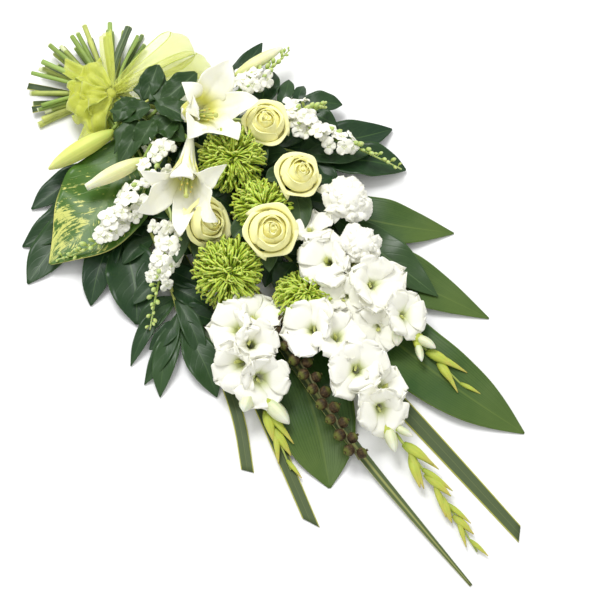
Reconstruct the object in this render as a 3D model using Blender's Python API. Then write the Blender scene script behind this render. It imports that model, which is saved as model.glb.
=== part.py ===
"""A tied funeral bouquet lying on a table: lilies, roses, spider chrysanthemums, carnations, gladioli and
stocks over broad leaves and flax straps, with the cut stems fanned out behind a ribbon tie.

Lengths are in millimetres and become metres when a mesh is made. The table is z = 0, and the cut stem ends
point along +Y. The origin is on the flat underside of the long flax strap.
"""

import math
import random

import bmesh
import bpy
from mathutils import Matrix, Vector
from mathutils.bvhtree import BVHTree

METRES = 0.001
CLEARANCE = 0.4
UP = Vector((0, 0, 1))

# The tie, where every stem passes in its own place of the bundle
TIE_X = -41.0
TIE_Y = 400.0
TIE_LENGTH = 34.0
STEM_PITCH = 6.4
LEVEL_PITCH = 5.85
BUNDLE_FLOOR = 5.0
STEM_RADIUS = 2.9
CUT_REACH = 118.0

# Flower sizes
ROSE_RADIUS = 30.0
ROSE_DEPTH = 42.0
MUM_NEEDLES = 46
MUM_RISE = 0.94
MUM_DEPTH = 0.56
COROLLA_DEPTH = 24.0
TUBE_RADIUS = 3.4
STOCK_FLORET_RADIUS = 12.5
POD_RADIUS = 7.6
PETAL_THICKNESS = 1.1
PETAL_EDGE = 1.8
LEAF_THICKNESS = 0.9
TOUCHES_TABLE = 5.5
STRAP_BEHIND_TIE = (11.0, 8.0, 5.6, 5.6)

GOLDEN_ANGLE = math.radians(137.5)
FLAT_ENOUGH = math.radians(1.0)
SLIVER = 0.02 * METRES
SMOOTH_BELOW = math.radians(38.0)
SHARES_KEPT = (0.45, 0.52, 0.6, 0.68, 0.76, 0.84, 0.92)

nodes = {}


def vec(*values):
    return Vector(values[0]) if len(values) == 1 else Vector(values)


def lerp(a, b, t):
    return a + (b - a) * t


def profile(stations, t):
    """The value at t on a line through evenly spaced stations."""
    place = min(max(t, 0.0), 1.0) * (len(stations) - 1)
    i = min(int(place), len(stations) - 2)
    return lerp(stations[i], stations[i + 1], place - i)


def rounded(points, times=2):
    """The same line with its corners cut, which never swings wide of its points."""
    points = [vec(p) for p in points]
    for _ in range(times):
        cut = [points[0]]
        for a, b in zip(points, points[1:]):
            cut += [a.lerp(b, 0.25), a.lerp(b, 0.75)]
        cut.append(points[-1])
        points = cut
    return points


def resampled(points, count):
    """So many points spread evenly along a line."""
    lengths = [0.0]
    for a, b in zip(points, points[1:]):
        lengths.append(lengths[-1] + (b - a).length)
    found = []
    for k in range(count):
        goal = lengths[-1] * k / (count - 1)
        i = max(j for j in range(len(points) - 1) if lengths[j] <= goal + 1e-9)
        span = lengths[i + 1] - lengths[i]
        found.append(points[i].lerp(points[i + 1], (goal - lengths[i]) / span if span else 0.0))
    return found


def route(points, count, times=2):
    return resampled(rounded(points, times), count)


def facing(centre, axis, turn=0.0):
    """A matrix that puts local z along the axis at the centre."""
    spin = Matrix.Rotation(turn, 4, "Z")
    return Matrix.Translation(vec(centre)) @ vec(axis).to_track_quat("Z", "Y").to_matrix().to_4x4() @ spin


def directions(points):
    found = []
    for i in range(len(points)):
        a = points[max(i - 1, 0)]
        b = points[min(i + 1, len(points) - 1)]
        found.append((b - a).normalized())
    return found


def turned_out(shell):
    """The shell with its faces pointing out."""
    points, faces = shell
    volume = 0.0
    for face in faces:
        a = points[face[0]]
        for i in range(1, len(face) - 1):
            volume += a.dot(points[face[i]].cross(points[face[i + 1]]))
    return (points, [tuple(reversed(f)) for f in faces]) if volume < 0 else shell


def loft(rings):
    """A closed body through rings of equal count, in triangles, with a fan over each end."""
    count = len(rings[0])
    points = [vec(p) for ring in rings for p in ring]
    faces = []
    for r in range(len(rings) - 1):
        for i in range(count):
            a = r * count + i
            b = r * count + (i + 1) % count
            faces += [(a, b, b + count), (a, b + count, a + count)]
    last = (len(rings) - 1) * count
    faces += [(0, i + 1, i) for i in range(1, count - 1)]
    faces += [(last, last + i, last + i + 1) for i in range(1, count - 1)]
    return turned_out((points, faces))


def tube(points, radii, sides=5):
    """A closed tube of so many sides along points, with a radius profile."""
    points = [vec(p) for p in points]
    side = directions(points)[0].orthogonal().normalized()
    rings = []
    for k, (point, way) in enumerate(zip(points, directions(points))):
        side = (side - way * side.dot(way)).normalized()
        other = way.cross(side)
        radius = profile(radii, k / (len(points) - 1))
        angles = [2 * math.pi * i / sides for i in range(sides)]
        rings.append([point + (side * math.cos(a) + other * math.sin(a)) * radius for a in angles])
    return loft(rings)


def slab(grid, thickness, lies=False):
    """A closed sheet from rows of points, split into triangles alike on both faces.

    A sheet that lies on the table is lifted where it would pass through it.
    """
    rows = len(grid)
    columns = len(grid[0])
    top = []
    under = []
    for r in range(rows):
        for c in range(columns):
            along = grid[min(r + 1, rows - 1)][c] - grid[max(r - 1, 0)][c]
            across = grid[r][min(c + 1, columns - 1)] - grid[r][max(c - 1, 0)]
            normal = along.cross(across).normalized()
            low = grid[r][c] - normal * thickness / 2
            high = grid[r][c] + normal * thickness / 2
            if lies:
                lift = max(0.0, -low.z, -high.z)
                low = low + UP * lift
                high = high + UP * lift
            under.append(low)
            top.append(high)
    half = rows * columns
    faces = []
    for r in range(rows - 1):
        for c in range(columns - 1):
            a = r * columns + c
            b = a + 1
            d = a + columns
            e = d + 1
            faces += [(a, b, e), (a, e, d)]
            faces += [(half + a, half + e, half + b), (half + a, half + d, half + e)]
    edge = list(range(columns))
    edge += [r * columns + columns - 1 for r in range(1, rows)]
    edge += [(rows - 1) * columns + c for c in range(columns - 2, -1, -1)]
    edge += [r * columns for r in range(rows - 2, 0, -1)]
    for a, b in zip(edge, edge[1:] + edge[:1]):
        faces += [(b, a, half + a), (b, half + a, half + b)]
    return turned_out((top + under, faces))


def blade(spine, widths, cup=0.0, roll=0.0, wave=0.0, thickness=LEAF_THICKNESS, lies=False):
    """A leaf or petal along a spine, with a width profile, a cupped section and waved edges."""
    spine = [vec(p) for p in spine]
    grid = []
    for k, (point, way) in enumerate(zip(spine, directions(spine))):
        t = k / (len(spine) - 1)
        side = way.cross(UP)
        side = side.normalized() if side.length > 0.05 else Vector((1, 0, 0))
        side = Matrix.Rotation(roll, 3, way) @ side
        normal = side.cross(way).normalized()
        half_width = max(profile(widths, t) / 2, 0.8)
        row = []
        for s in (-1, 0, 1):
            lift = cup * half_width * s * s
            lift += wave * s * math.sin(6 * math.pi * t + s) * math.sin(math.pi * t)
            row.append(point + side * half_width * s + normal * lift)
        grid.append(row)
    return slab(grid, thickness, lies)


LANCE = (0.12, 0.55, 0.9, 1.0, 0.88, 0.55, 0.03)
OVAL = (0.14, 0.66, 0.95, 1.0, 0.9, 0.62, 0.05)
LONG = (0.1, 0.45, 0.78, 0.96, 1.0, 0.93, 0.72, 0.38, 0.03)


def leaf(base, tip, width, arch=8.0, roll=0.0, cup=0.18, outline=LANCE, rows=5, wave=0.0):
    """One leaf from its base to its tip, arched up between them. A low tip lies on the table."""
    base = vec(base)
    tip = vec(tip)
    lies = tip.z < TOUCHES_TABLE
    if lies:
        tip.z = LEAF_THICKNESS / 2
    spine = [base.lerp(tip, k / (rows - 1)) for k in range(rows)]
    spine = [p + UP * arch * math.sin(math.pi * k / (rows - 1)) for k, p in enumerate(spine)]
    return blade(spine, [w * width for w in outline], cup, roll, wave, lies=lies)


def pod(centre, radius, stretch=1.0, axis=(0, 0, 1), sides=6):
    """A small closed ball of three rings, stretched along its axis."""
    place = facing(centre, axis)
    rings = []
    for angle in (-58, 0, 58):
        ring = radius * math.cos(math.radians(angle))
        height = radius * stretch * math.sin(math.radians(angle))
        spots = [2 * math.pi * i / sides for i in range(sides)]
        rings.append([place @ vec(ring * math.cos(a), ring * math.sin(a), height) for a in spots])
    return loft(rings)


def bud(base, tip, radius, sides=6, shape=(0.35, 0.8, 1.0, 0.75, 0.12)):
    """A pointed bud from its base to its tip."""
    base = vec(base)
    tip = vec(tip)
    points = [base.lerp(tip, k / (len(shape) - 1)) for k in range(len(shape))]
    return tube(points, [radius * s for s in shape], sides)


def corolla(place, radius, root, seed):
    """A funnel of six fused petals: out from the root, round the waved rim and back down into the throat."""
    draw = random.Random(seed)
    count = 12
    angles = [2 * math.pi * i / count for i in range(count)]
    reach = [1.0 - 0.2 * (i % 2) + draw.uniform(-0.06, 0.06) for i in range(count)]
    waves = [3.2 * (1 - 2 * (i % 2)) * draw.uniform(0.4, 1.0) for i in range(count)]
    foot = place.to_3x3()
    depth = COROLLA_DEPTH
    rings = [[root + foot @ vec(TUBE_RADIUS * math.cos(a), TUBE_RADIUS * math.sin(a), 0) for a in angles]]
    for share, drop, wave in ((0.55, -0.34, 0.15), (1.0, 0.0, 1.0), (0.96, 0.06, 1.0)):
        ring = []
        for a, r, w in zip(angles, reach, waves):
            out = radius * share * r
            ring.append(place @ vec(out * math.cos(a), out * math.sin(a), depth * drop + w * wave))
        rings.append(ring)
    throat = radius * 0.17
    rings.append([place @ vec(throat * math.cos(a), throat * math.sin(a), -depth * 0.28) for a in angles])
    return loft(rings)


def rose_cup(place, petals, belly, lip, floor, top, dip, turn):
    """One whorl of rose petals: a bowl whose rim is lobed, each petal wound a little outside the next."""
    per_petal = 4
    count = petals * per_petal
    rings = []
    foot = (belly * 0.3, floor, 0.0)
    bulge = (belly, lerp(floor, top, 0.55), 0.2)
    hollow = (belly * 0.7, lerp(floor, top, 0.6), 0.2)
    edge = (lip, top, 1.0)
    for radius, height, rim in (foot, bulge, edge, edge, hollow):
        ring = []
        inside = 0.0 if len(rings) < 3 else PETAL_EDGE
        for i in range(count):
            angle = turn + 2 * math.pi * i / count
            s = (i % per_petal) / per_petal
            wound = 1.0 + 0.16 * (s - 0.4)
            r = radius * (wound if rim else 1.0) - inside
            fall = rim * dip * (2 * s - 0.75) ** 2
            ring.append(place @ vec(r * math.cos(angle), r * math.sin(angle), height - fall))
        rings.append(ring)
    return loft(rings)


def rose(centre, axis, turn, radius=ROSE_RADIUS):
    """Whorls of petals one in another round a tight bud."""
    place = facing(centre, axis, turn)
    depth = ROSE_DEPTH * radius / ROSE_RADIUS
    core = ((-0.9, 0.24), (-0.3, 0.34), (0.02, 0.15))
    shells = [tube([place @ vec(0, 0, depth * h) for h, _ in core], [radius * w for _, w in core], 6)]
    whorls = ((3, 0.62, 0.44, 0.03), (3, 0.84, 0.72, -0.03), (4, 0.96, 1.02, -0.18))
    for k, (petals, belly, lip, top) in enumerate(whorls):
        shells.append(rose_cup(place, petals, radius * belly, radius * lip, -depth, depth * top, 5.0, 0.8 * k))
    return shells


def mum(centre, axis, radius, turn):
    """A spider chrysanthemum: a low core with needles standing out of it all over."""
    place = facing(centre, axis, turn)
    heart = place @ vec(0, 0, -radius * MUM_DEPTH)
    shells = [pod(heart, radius * 0.46, 0.72, axis, 9)]
    for i in range(MUM_NEEDLES):
        t = (i + 0.5) / MUM_NEEDLES
        lean = math.acos(1 - 1.12 * t)
        angle = GOLDEN_ANGLE * i
        flat = math.sin(lean)
        out = place.to_3x3() @ vec(flat * math.cos(angle), flat * math.sin(angle), math.cos(lean) * MUM_RISE)
        length = radius * lerp(0.66, 1.0, flat**2)
        start = heart + out * radius * 0.26
        end = heart + out * length
        shells.append(tube([start, end], (3.1, 2.0), 3))
    return shells


# Out along the underside of a frilled layer and back over it: reach, height, how far it waves, how even it is
CARNATION_SECTION = (
    (0.16, -0.95, 0.0, 1.0), (0.72, -0.28, 0.4, 0.0), (1.0, 0.0, 1.0, 0.0), (0.95, 0.04, 1.0, 0.0),
    (0.5, -0.2, 0.0, 1.0),
)


def carnation(centre, axis, radius, turn, seed):
    """Frilled layers, one in another."""
    draw = random.Random(seed)
    place = facing(centre, axis, turn)
    shells = []
    count = 14
    for layer in range(3):
        rim = radius * (1.0, 0.74, 0.42)[layer]
        rise = radius * (-0.28, 0.0, 0.16)[layer]
        angles = [2 * math.pi * (i + 0.37 * layer) / count for i in range(count)]
        frill = [(1 - 2 * (i % 2)) * draw.uniform(1.5, 4.2) for i in range(count)]
        reach = [1 - 0.09 * (i % 2) + draw.uniform(-0.05, 0.05) for i in range(count)]
        rings = []
        for share, drop, wave, even in CARNATION_SECTION:
            ring = []
            for a, r, w in zip(angles, reach, frill):
                out = rim * share * lerp(r, 1.0, even)
                ring.append(place @ vec(out * math.cos(a), out * math.sin(a), rise + radius * drop + w * wave))
            rings.append(ring)
        shells.append(loft(rings))
    return shells


def lily(root, throat, mouth, tips, width):
    """Six petals from one trumpet, with the pistil and six stamens in its throat."""
    root = vec(root)
    throat = vec(throat)
    mouth = vec(mouth)
    way = (mouth - throat).normalized()
    shells = [tube([root, root.lerp(throat, 0.5), throat, throat + way * 8], (5.0, 6.5, 9.0, 12.0), 7)]
    for k, tip in enumerate(tips):
        tip = vec(tip)
        out = tip - mouth
        out = (out - way * out.dot(way)).normalized()
        reach = (tip - mouth).length
        spine = [throat + out * 5, throat + way * 14 + out * 10]
        spine += [mouth - way * 10 + out * min(19, reach * 0.34), mouth + out * min(34, reach * 0.55)]
        spine += [mouth.lerp(tip, 0.78) + way * 4, tip]
        side = way.cross(out)
        widths = (6, 12, 22, width * (1.0 if k % 2 else 0.84), width * 0.74, 3)
        grid = []
        for point, along, wide in zip(spine, directions(spine), widths):
            across = side.normalized()
            rise = along.cross(across).normalized()
            rise = rise if rise.dot(way) > 0 else -rise
            grid.append([point + across * wide / 2 * s + rise * 2.4 * s * s for s in (-1, 0, 1)])
        shells.append(slab(grid, PETAL_THICKNESS))
    for k in range(7):
        angle = k * math.pi / 3
        side = way.orthogonal().normalized()
        out = side * math.cos(angle) + way.cross(side) * math.sin(angle)
        spread = 0.0 if k == 6 else 1.0
        end = throat + way * (50 if k == 6 else 38) + out * 11 * spread
        shells.append(tube([throat + way * 4 + out * 3 * spread, end], (1.7, 1.7), 3))
        shells.append(bud(end - side * 4.5, end + side * 4.5, 2.4, 4, (0.4, 1.0, 0.4)))
    return shells


def stock(stalk, florets, buds, seed):
    """A spray of four-petalled florets round a stalk, with buds towards its tip."""
    draw = random.Random(seed)
    line = route(stalk, 9)
    shells = [tube(line, (2.6, 2.4, 1.5), 5)]
    ways = directions(line)
    for k in range(florets + buds):
        t = lerp(0.03, 0.97, (k + 0.5) / (florets + buds))
        place = t * (len(line) - 1)
        i = min(int(place), len(line) - 2)
        point = line[i].lerp(line[i + 1], place - i)
        way = ways[i]
        side = way.cross(UP).normalized()
        rise = side.cross(way)
        angle = GOLDEN_ANGLE * k
        out = side * math.cos(angle) + rise * abs(math.sin(angle)) + UP * 0.35 + way * 0.3
        out = out.normalized()
        if k < florets:
            size = STOCK_FLORET_RADIUS * draw.uniform(0.86, 1.1)
            centre = point + out * lerp(12.5, 9.0, t)
            shells.append(stock_floret(centre, out, point, size, draw.uniform(0, 1.5)))
        else:
            size = lerp(5.2, 2.8, (k - florets) / max(buds, 1))
            shells.append(bud(point, point + (out + way * 0.8) * size * 2.4, size, 5))
    return shells


def stock_floret(centre, out, root, radius, turn):
    """A small floret: four broad petals on a cone that roots in the stalk."""
    place = facing(centre, out, turn)
    angles = [2 * math.pi * i / 8 for i in range(8)]
    reach = [1.0 if i % 2 else 0.66 for i in range(8)]
    turn_only = place.to_3x3()
    foot = [vec(root) + turn_only @ vec(1.6 * math.cos(a), 1.6 * math.sin(a), 0) for a in angles]
    rim = []
    for a, r in zip(angles, reach):
        rim.append(place @ vec(radius * r * math.cos(a), radius * r * math.sin(a), 2.4 * (r - 0.8)))
    return loft([foot, rim])


def lobed_leaf(centre, tip, width, tilt=0.0):
    """An ivy leaf: a thin plate with a lobed edge, arched over its middle."""
    centre = vec(centre)
    tip = vec(tip)
    way = tip - centre
    length = way.length
    way.normalize()
    side = way.cross(UP).normalized()
    side = Matrix.Rotation(tilt, 3, way) @ side
    rise = side.cross(way)
    half = ((1.0, 0.0), (0.45, 0.32), (0.3, 1.0), (-0.02, 0.55), (-0.34, 0.62), (-0.24, 0.0))
    outline = list(half) + [(a, -s) for a, s in reversed(half[1:-1])]
    points = [centre + rise * 3.2]
    for along, across in outline:
        points.append(centre + way * length * along + side * width / 2 * across - rise * 1.5 * abs(across))
    under = [p - rise * LEAF_THICKNESS for p in points]
    count = len(points)
    faces = []
    for i in range(1, count):
        j = i % (count - 1) + 1
        faces += [(0, i, j), (count, count + j, count + i), (i, count + i, count + j), (i, count + j, j)]
    return turned_out((points + under, faces))


def plain(mesh):
    return [v.co / METRES for v in mesh.vertices], [tuple(p.vertices) for p in mesh.polygons]


def fattened(mesh):
    """The mesh in millimetres with its corners pushed out, as the room that later nodes leave it."""
    points = [(v.co / METRES) + v.normal * CLEARANCE * 1.5 for v in mesh.vertices]
    return points, [tuple(p.vertices) for p in mesh.polygons]


def box_of(points):
    return [(min(p[i] for p in points), max(p[i] for p in points)) for i in range(3)]


def boxes_meet(a, b):
    return all(low <= other_high and other_low <= high for (low, high), (other_low, other_high) in zip(a, b))


def mesh_object(name, shell):
    mesh = bpy.data.meshes.new(name)
    mesh.from_pydata([p * METRES for p in shell[0]], [], shell[1])
    mesh.update()
    return bpy.data.objects.new(name, mesh)


def collection_of(name, shells):
    group = bpy.data.collections.new(name)
    bpy.context.scene.collection.children.link(group)
    for i, shell in enumerate(shells):
        group.objects.link(mesh_object(f"{name}_{i}", shell))
    return group


def apply_boolean(obj, group, operation):
    """One Boolean on the collection, applied, with the collection's objects removed."""
    modifier = obj.modifiers.new(operation.title(), "BOOLEAN")
    modifier.operation = operation
    modifier.solver = "MANIFOLD"
    modifier.operand_type = "COLLECTION"
    modifier.collection = group
    apply_modifiers(obj)
    for other in list(group.objects):
        bpy.data.objects.remove(other)
    bpy.data.collections.remove(group)


def triangulated(mesh, join_slivers, join_flats):
    """A copy of the mesh in triangles, with its slivers and flat neighbours joined first where asked for."""
    work = bmesh.new()
    work.from_mesh(mesh)
    if join_slivers:
        bmesh.ops.dissolve_degenerate(work, dist=SLIVER, edges=work.edges)
    if join_flats:
        bmesh.ops.dissolve_limit(work, angle_limit=FLAT_ENOUGH, verts=work.verts, edges=work.edges)
    bmesh.ops.triangulate(work, faces=work.faces)
    closed = all(len(edge.link_faces) == 2 for edge in work.edges)
    made = mesh.copy()
    work.to_mesh(made)
    work.free()
    return made if closed else mesh


def keep_one_body(obj):
    """Sealed hollows are filled and loose scraps are dropped."""
    whole = triangulated(obj.data, False, False)
    for joins in ((True, True), (False, True), (True, False), (False, False)):
        mesh = triangulated(whole, *joins)
        if not crosses_itself(mesh):
            break
    obj.data = mesh
    work = bmesh.new()
    work.from_mesh(mesh)
    bodies = []
    unseen = set(work.verts)
    while unseen:
        body = {unseen.pop()}
        edge = list(body)
        while edge:
            for link in edge.pop().link_edges:
                for other in link.verts:
                    if other in unseen:
                        unseen.remove(other)
                        body.add(other)
                        edge.append(other)
        faces = {f for v in body for f in v.link_faces}
        volume = sum(f.verts[0].co.dot(f.verts[1].co.cross(f.verts[2].co)) for f in faces)
        bodies.append((volume, len(bodies), body))
    bodies.sort(key=lambda item: item[:2])
    for _, _, body in bodies[:-1]:
        bmesh.ops.delete(work, geom=list(body), context="VERTS")
    work.to_mesh(mesh)
    work.free()


def apply_modifiers(obj):
    """The object's mesh as its modifiers leave it."""
    bpy.context.view_layer.update()
    graph = bpy.context.evaluated_depsgraph_get()
    made = bpy.data.meshes.new_from_object(obj.evaluated_get(graph))
    obj.modifiers.clear()
    old = obj.data
    obj.data = made
    bpy.data.meshes.remove(old)


def crosses_itself(mesh):
    """Whether two triangles that share no corner cross, with corners to a thousandth of a millimetre."""
    points = [vec(*(round(c / METRES, 3) for c in v.co)) for v in mesh.vertices]
    faces = [tuple(p.vertices) for p in mesh.polygons]
    tree = BVHTree.FromPolygons(points, faces, all_triangles=True)
    return any(a < b and not set(faces[a]) & set(faces[b]) for a, b in tree.overlap(tree))


def thinned(obj):
    """Fewer triangles where the joins left more than the shape needs, and none that cross."""
    whole = obj.data.copy()
    for share in SHARES_KEPT:
        modifier = obj.modifiers.new("Thinned", "DECIMATE")
        modifier.ratio = share
        modifier.use_collapse_triangulate = True
        apply_modifiers(obj)
        if not crosses_itself(obj.data):
            return
        obj.data = whole.copy()


def material(name, colour, roughness, metallic=0.0):
    made = bpy.data.materials.new(name)
    made.use_nodes = True
    shader = made.node_tree.nodes["Principled BSDF"]
    shader.inputs["Base Color"].default_value = (*colour, 1.0)
    shader.inputs["Roughness"].default_value = roughness
    shader.inputs["Metallic"].default_value = metallic
    made.diffuse_color = (*colour, 1.0)
    return made


def build(name, shells, colour, roughness=0.5):
    """One node: its shells joined, and bent clear of the nodes built before it."""
    obj = mesh_object(name, shells[0])
    bpy.context.scene.collection.objects.link(obj)
    if len(shells) > 1:
        apply_boolean(obj, collection_of(name + "_repeats", shells[1:]), "UNION")
        keep_one_body(obj)
        thinned(obj)
    boxes = [box_of(points) for points, _ in shells]
    near = [pair for pair, box in nodes.values() if any(boxes_meet(box, own) for own in boxes)]
    room = [shell for pair in near for shell in pair]
    if room:
        apply_boolean(obj, collection_of(name + "_room", room), "DIFFERENCE")
        keep_one_body(obj)
    obj.data.materials.clear()
    obj.data.materials.append(material(name + "_finish", colour, roughness))
    obj.data.shade_smooth()
    obj.data.set_sharp_from_angle(angle=SMOOTH_BELOW)
    fat = fattened(obj.data)
    nodes[name] = ((fat, plain(obj.data)), box_of(fat[0]))
    return obj


# Which stems pass the tie at each level of the bundle, from the table up, with the place that each heads for
LEVELS = (
    {
        "leaf_right_upper": (120, 70), "leaf_right_middle": (80, 40), "leaf_right_lower": (60, -60),
        "leaf_below": (-52, 0), "strap_right": (0, 0), "leafy_stem_left": (-100, 325),
        "leafy_stem_lower_left": (-120, 270), "leafy_sprig_below": (-118, 150),
    },
    {
        "strap_middle": (-62, -60), "strap_left": (-118, -60), "strap_far_left": (-140, -30),
        "leaf_right_dark": (105, 60), "leafy_stem_right": (110, 200), "leafy_stem_inner": (-10, 160),
        "leafy_stem_middle": (60, 170), "leafy_stem_back": (90, 310), "variegated_leaf": (-75, 285),
    },
    {
        "gladiolus_left": (-90, 30), "gladiolus_middle": (-16, -30), "gladiolus_right": (50, 60),
        "seed_pod_spike": (-48, -20), "carnation_upper": (120, 66), "carnation_lower": (96, 0),
        "stock_right": (135, 235),
    },
    {
        "mum_lower": (-12, -10), "mum_left": (-70, 66), "mum_middle": (22, 112), "rose_right": (84, 126),
        "rose_middle": (2, 76), "stock_back": (96, 296), "stock_far_right": (138, 217),
    },
    {
        "mum_upper": (27, 200), "rose_upper": (94, 215), "rose_left": (-50, 142),
        "stock_lower_left": (-82, 190),
        "stock_left": (-78, 262),
    },
    {"lily_lower": (0, 262), "lily_upper": (-8, 305), "stock_middle": (-30, 290), "ivy": (-36, 330)},
)


def bundle_places():
    """Each stem's x, height, level and share of its row, with the rows sorted so that stems fan out."""
    places = {}
    for level, row in enumerate(LEVELS):
        names = sorted(row, key=lambda name: math.atan2(row[name][0] - TIE_X, TIE_Y - row[name][1]))
        for i, name in enumerate(names):
            x = TIE_X + (i - (len(names) - 1) / 2) * STEM_PITCH
            z = BUNDLE_FLOOR + level * LEVEL_PITCH
            places[name] = (x, z, level, (i + 0.5) / len(names))
    return places


PLACES = bundle_places()


def behind_tie(name, short=False):
    """The stem's points from its cut end to the front of the tie."""
    x, z, level, share = PLACES[name]
    draw = random.Random(name)
    back = vec(x, TIE_Y + TIE_LENGTH / 2, z)
    front = vec(x, TIE_Y - TIE_LENGTH / 2, z)
    if short:
        return [back + vec(0, 12, 0), front]
    angle = math.radians(lerp(-80, 62, share) + draw.uniform(-6, 6))
    reach = CUT_REACH * lerp(0.62, 1.0, math.cos(angle)) * draw.uniform(0.88, 1.12)
    end = back + vec(math.sin(angle) * reach, math.cos(angle) * reach, 0)
    end.z = 4.5 + level * 5.6
    return [end, back.lerp(end, 0.35) + vec(0, 8 * abs(math.sin(angle)), 0), back, front]


def stem(name, points, radius=STEM_RADIUS, short=False, steps=5):
    """A stem from its cut end through the tie and on through points."""
    line = behind_tie(name, short)
    line += route([line[-1], *points], steps)[1:]
    return tube(line, (radius, radius, radius * 0.86), 5)


def stem_leaves(*leaves):
    return [leaf(*given, cup=0.12, outline=OVAL, rows=5) for given in leaves]


GREEN_STEM = (0.18, 0.32, 0.06)
DARK_LEAF = (0.03, 0.1, 0.02)
MID_LEAF = (0.07, 0.2, 0.03)
WHITE_PETAL = (0.85, 0.86, 0.8)
CREAM_PETAL = (0.87, 0.84, 0.55)
LIME = (0.38, 0.55, 0.05)


def lilies():
    build(
        "lily_upper_flower",
        lily(
            (-8, 303, 66), (19, 283, 88), (51, 259, 115),
            ((23, 305, 140), (101, 308, 118), (100, 235, 110), (41, 199, 114), (-16, 230, 132),
                (8, 274, 136)), 44,
        ),
        WHITE_PETAL,
    )
    build(
        "lily_lower_flower",
        lily(
            (0, 258, 64), (-40, 214, 84), (-68, 176, 100),
            ((-95, 232, 118), (-56, 207, 130), (4, 172, 122), (-46, 122, 102), (-100, 135, 92),
                (-124, 198, 94)), 42,
        ),
        WHITE_PETAL,
    )


ROSES = {
    "rose_upper": ((96, 213, 92), (-0.05, -0.2, 1.0), 0.4, 30.0),
    "rose_right": ((88, 120, 94), (0.15, -0.25, 0.95), 1.7, 29.0),
    "rose_middle": ((1, 64, 108), (-0.05, -0.35, 0.93), 2.6, 32.0),
    "rose_left": ((-50, 133, 76), (0.1, -0.4, 0.9), 0.9, 29.0),
}

MUMS = {
    "mum_upper": ((27, 193, 92), (-0.1, -0.3, 0.95), 47.0, 0.2),
    "mum_middle": ((22, 112, 78), (0.0, -0.3, 0.95), 43.0, 1.1),
    "mum_left": ((-74, 57, 80), (-0.2, -0.35, 0.9), 50.0, 2.0),
    "mum_lower": ((-12, -25, 68), (0.35, -0.05, 0.93), 42.0, 0.7),
}

CARNATIONS = {
    "carnation_upper": ((124, 61, 72), (0.15, -0.1, 0.98), 38.0, 0.3, 3),
    "carnation_lower": ((101, -9, 68), (0.1, -0.25, 0.96), 32.0, 1.0, 4),
}


def heads():
    for name, (centre, axis, turn, radius) in ROSES.items():
        build(name + "_bloom", rose(centre, axis, turn, radius), CREAM_PETAL)
    for name, (centre, axis, radius, turn) in MUMS.items():
        build(name + "_bloom", mum(centre, axis, radius, turn), LIME)
    for name, (centre, axis, radius, turn, seed) in CARNATIONS.items():
        build(name + "_bloom", carnation(centre, axis, radius, turn, seed), WHITE_PETAL)


def seed_pods():
    """Pods in two ranks along a woody stalk."""
    stalk = route([(-46, -20, 34), (-51, -49, 42), (-57, -124, 42), (-70, -190, 32), (-75, -236, 22)], 9)
    shells = [stem("seed_pod_spike", [(-44, 60, 20), (-46, -10, 34), (-48, -36, 39)])]
    shells.append(tube(stalk, (2.4, 2.2), 5))
    ways = directions(stalk)
    for k in range(16):
        place = lerp(0.8, len(stalk) - 1.15, k / 15)
        i = int(place)
        point = stalk[i].lerp(stalk[i + 1], place - i)
        side = ways[i].cross(UP).normalized() * (1 if k % 2 else -1)
        out = (side + UP * 0.5).normalized()
        shells.append(pod(point + out * 7.0, POD_RADIUS * lerp(0.94, 1.08, k % 3 / 2), 1.05, out))
    build("seed_pod_spike", shells, (0.16, 0.09, 0.04))


GLADIOLI = {
    "gladiolus_left": {
        "florets": (
            ((-110, -8, 62), (-0.35, 0.1, 0.9), 34), ((-76, -6, 58), (0.4, 0.1, 0.9), 34),
            ((-106, -40, 66), (-0.1, -0.35, 0.95), 35), ((-134, -48, 54), (-0.6, -0.2, 0.8), 34),
            ((-121, -80, 50), (-0.15, -0.5, 0.85), 35),
        ),
        "stalk": ((-88, 60, 24), (-98, -10, 28), (-117, -60, 26), (-132, -105, 18), (-153, -193, 5)),
        "buds": (((-134, -80, 28), (-158, -96, 34), 9), ((-128, -98, 22), (-122, -142, 24), 10)),
        "spathes": (((-134, -110, 16), (-150, -150, 12), 7), ((-140, -135, 12), (-142, -178, 8), 6)),
    },
    "gladiolus_middle": {
        "florets": (
            ((-34, -70, 62), (-0.3, 0.0, 0.95), 34), ((-4, -92, 60), (0.35, 0.0, 0.93), 34),
            ((-12, -148, 58), (-0.05, -0.35, 0.93), 37), ((-16, -206, 46), (0.0, -0.6, 0.8), 31),
        ),
        "stalk": ((-16, 0, 22), (-14, -80, 26), (-12, -160, 24), (-16, -235, 18), (-15, -330, 9),
            (-24, -420, 3)),
        "buds": (((-20, -222, 24), (-34, -258, 28), 9), ((-14, -226, 24), (-2, -254, 26), 6)),
        "spathes": (
            ((-15, -252, 14), (-2, -298, 18), 7), ((-16, -270, 12), (-34, -312, 14), 7),
            ((-16, -300, 9), (-8, -344, 12), 6), ((-18, -335, 7), (-28, -372, 8), 6),
            ((-20, -365, 5), (-14, -400, 6), 5),
        ),
    },
    "gladiolus_right": {
        "florets": (
            ((58, 58, 60), (0.1, 0.35, 0.85), 27), ((52, -3, 62), (0.05, -0.2, 0.97), 34),
            ((76, -60, 58), (0.2, -0.3, 0.93), 35), ((88, -116, 46), (0.25, -0.5, 0.85), 29),
        ),
        "stalk": ((46, 90, 20), (60, 0, 24), (78, -80, 22), (88, -150, 16), (102, -240, 4)),
        "buds": (((80, -110, 24), (56, -142, 34), 11), ((88, -140, 20), (98, -172, 26), 8),
            ((86, -148, 18), (72, -176, 24), 6)),
        "spathes": (((90, -165, 13), (106, -205, 14), 7), ((94, -185, 10), (90, -226, 10), 6)),
    },
}


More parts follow.
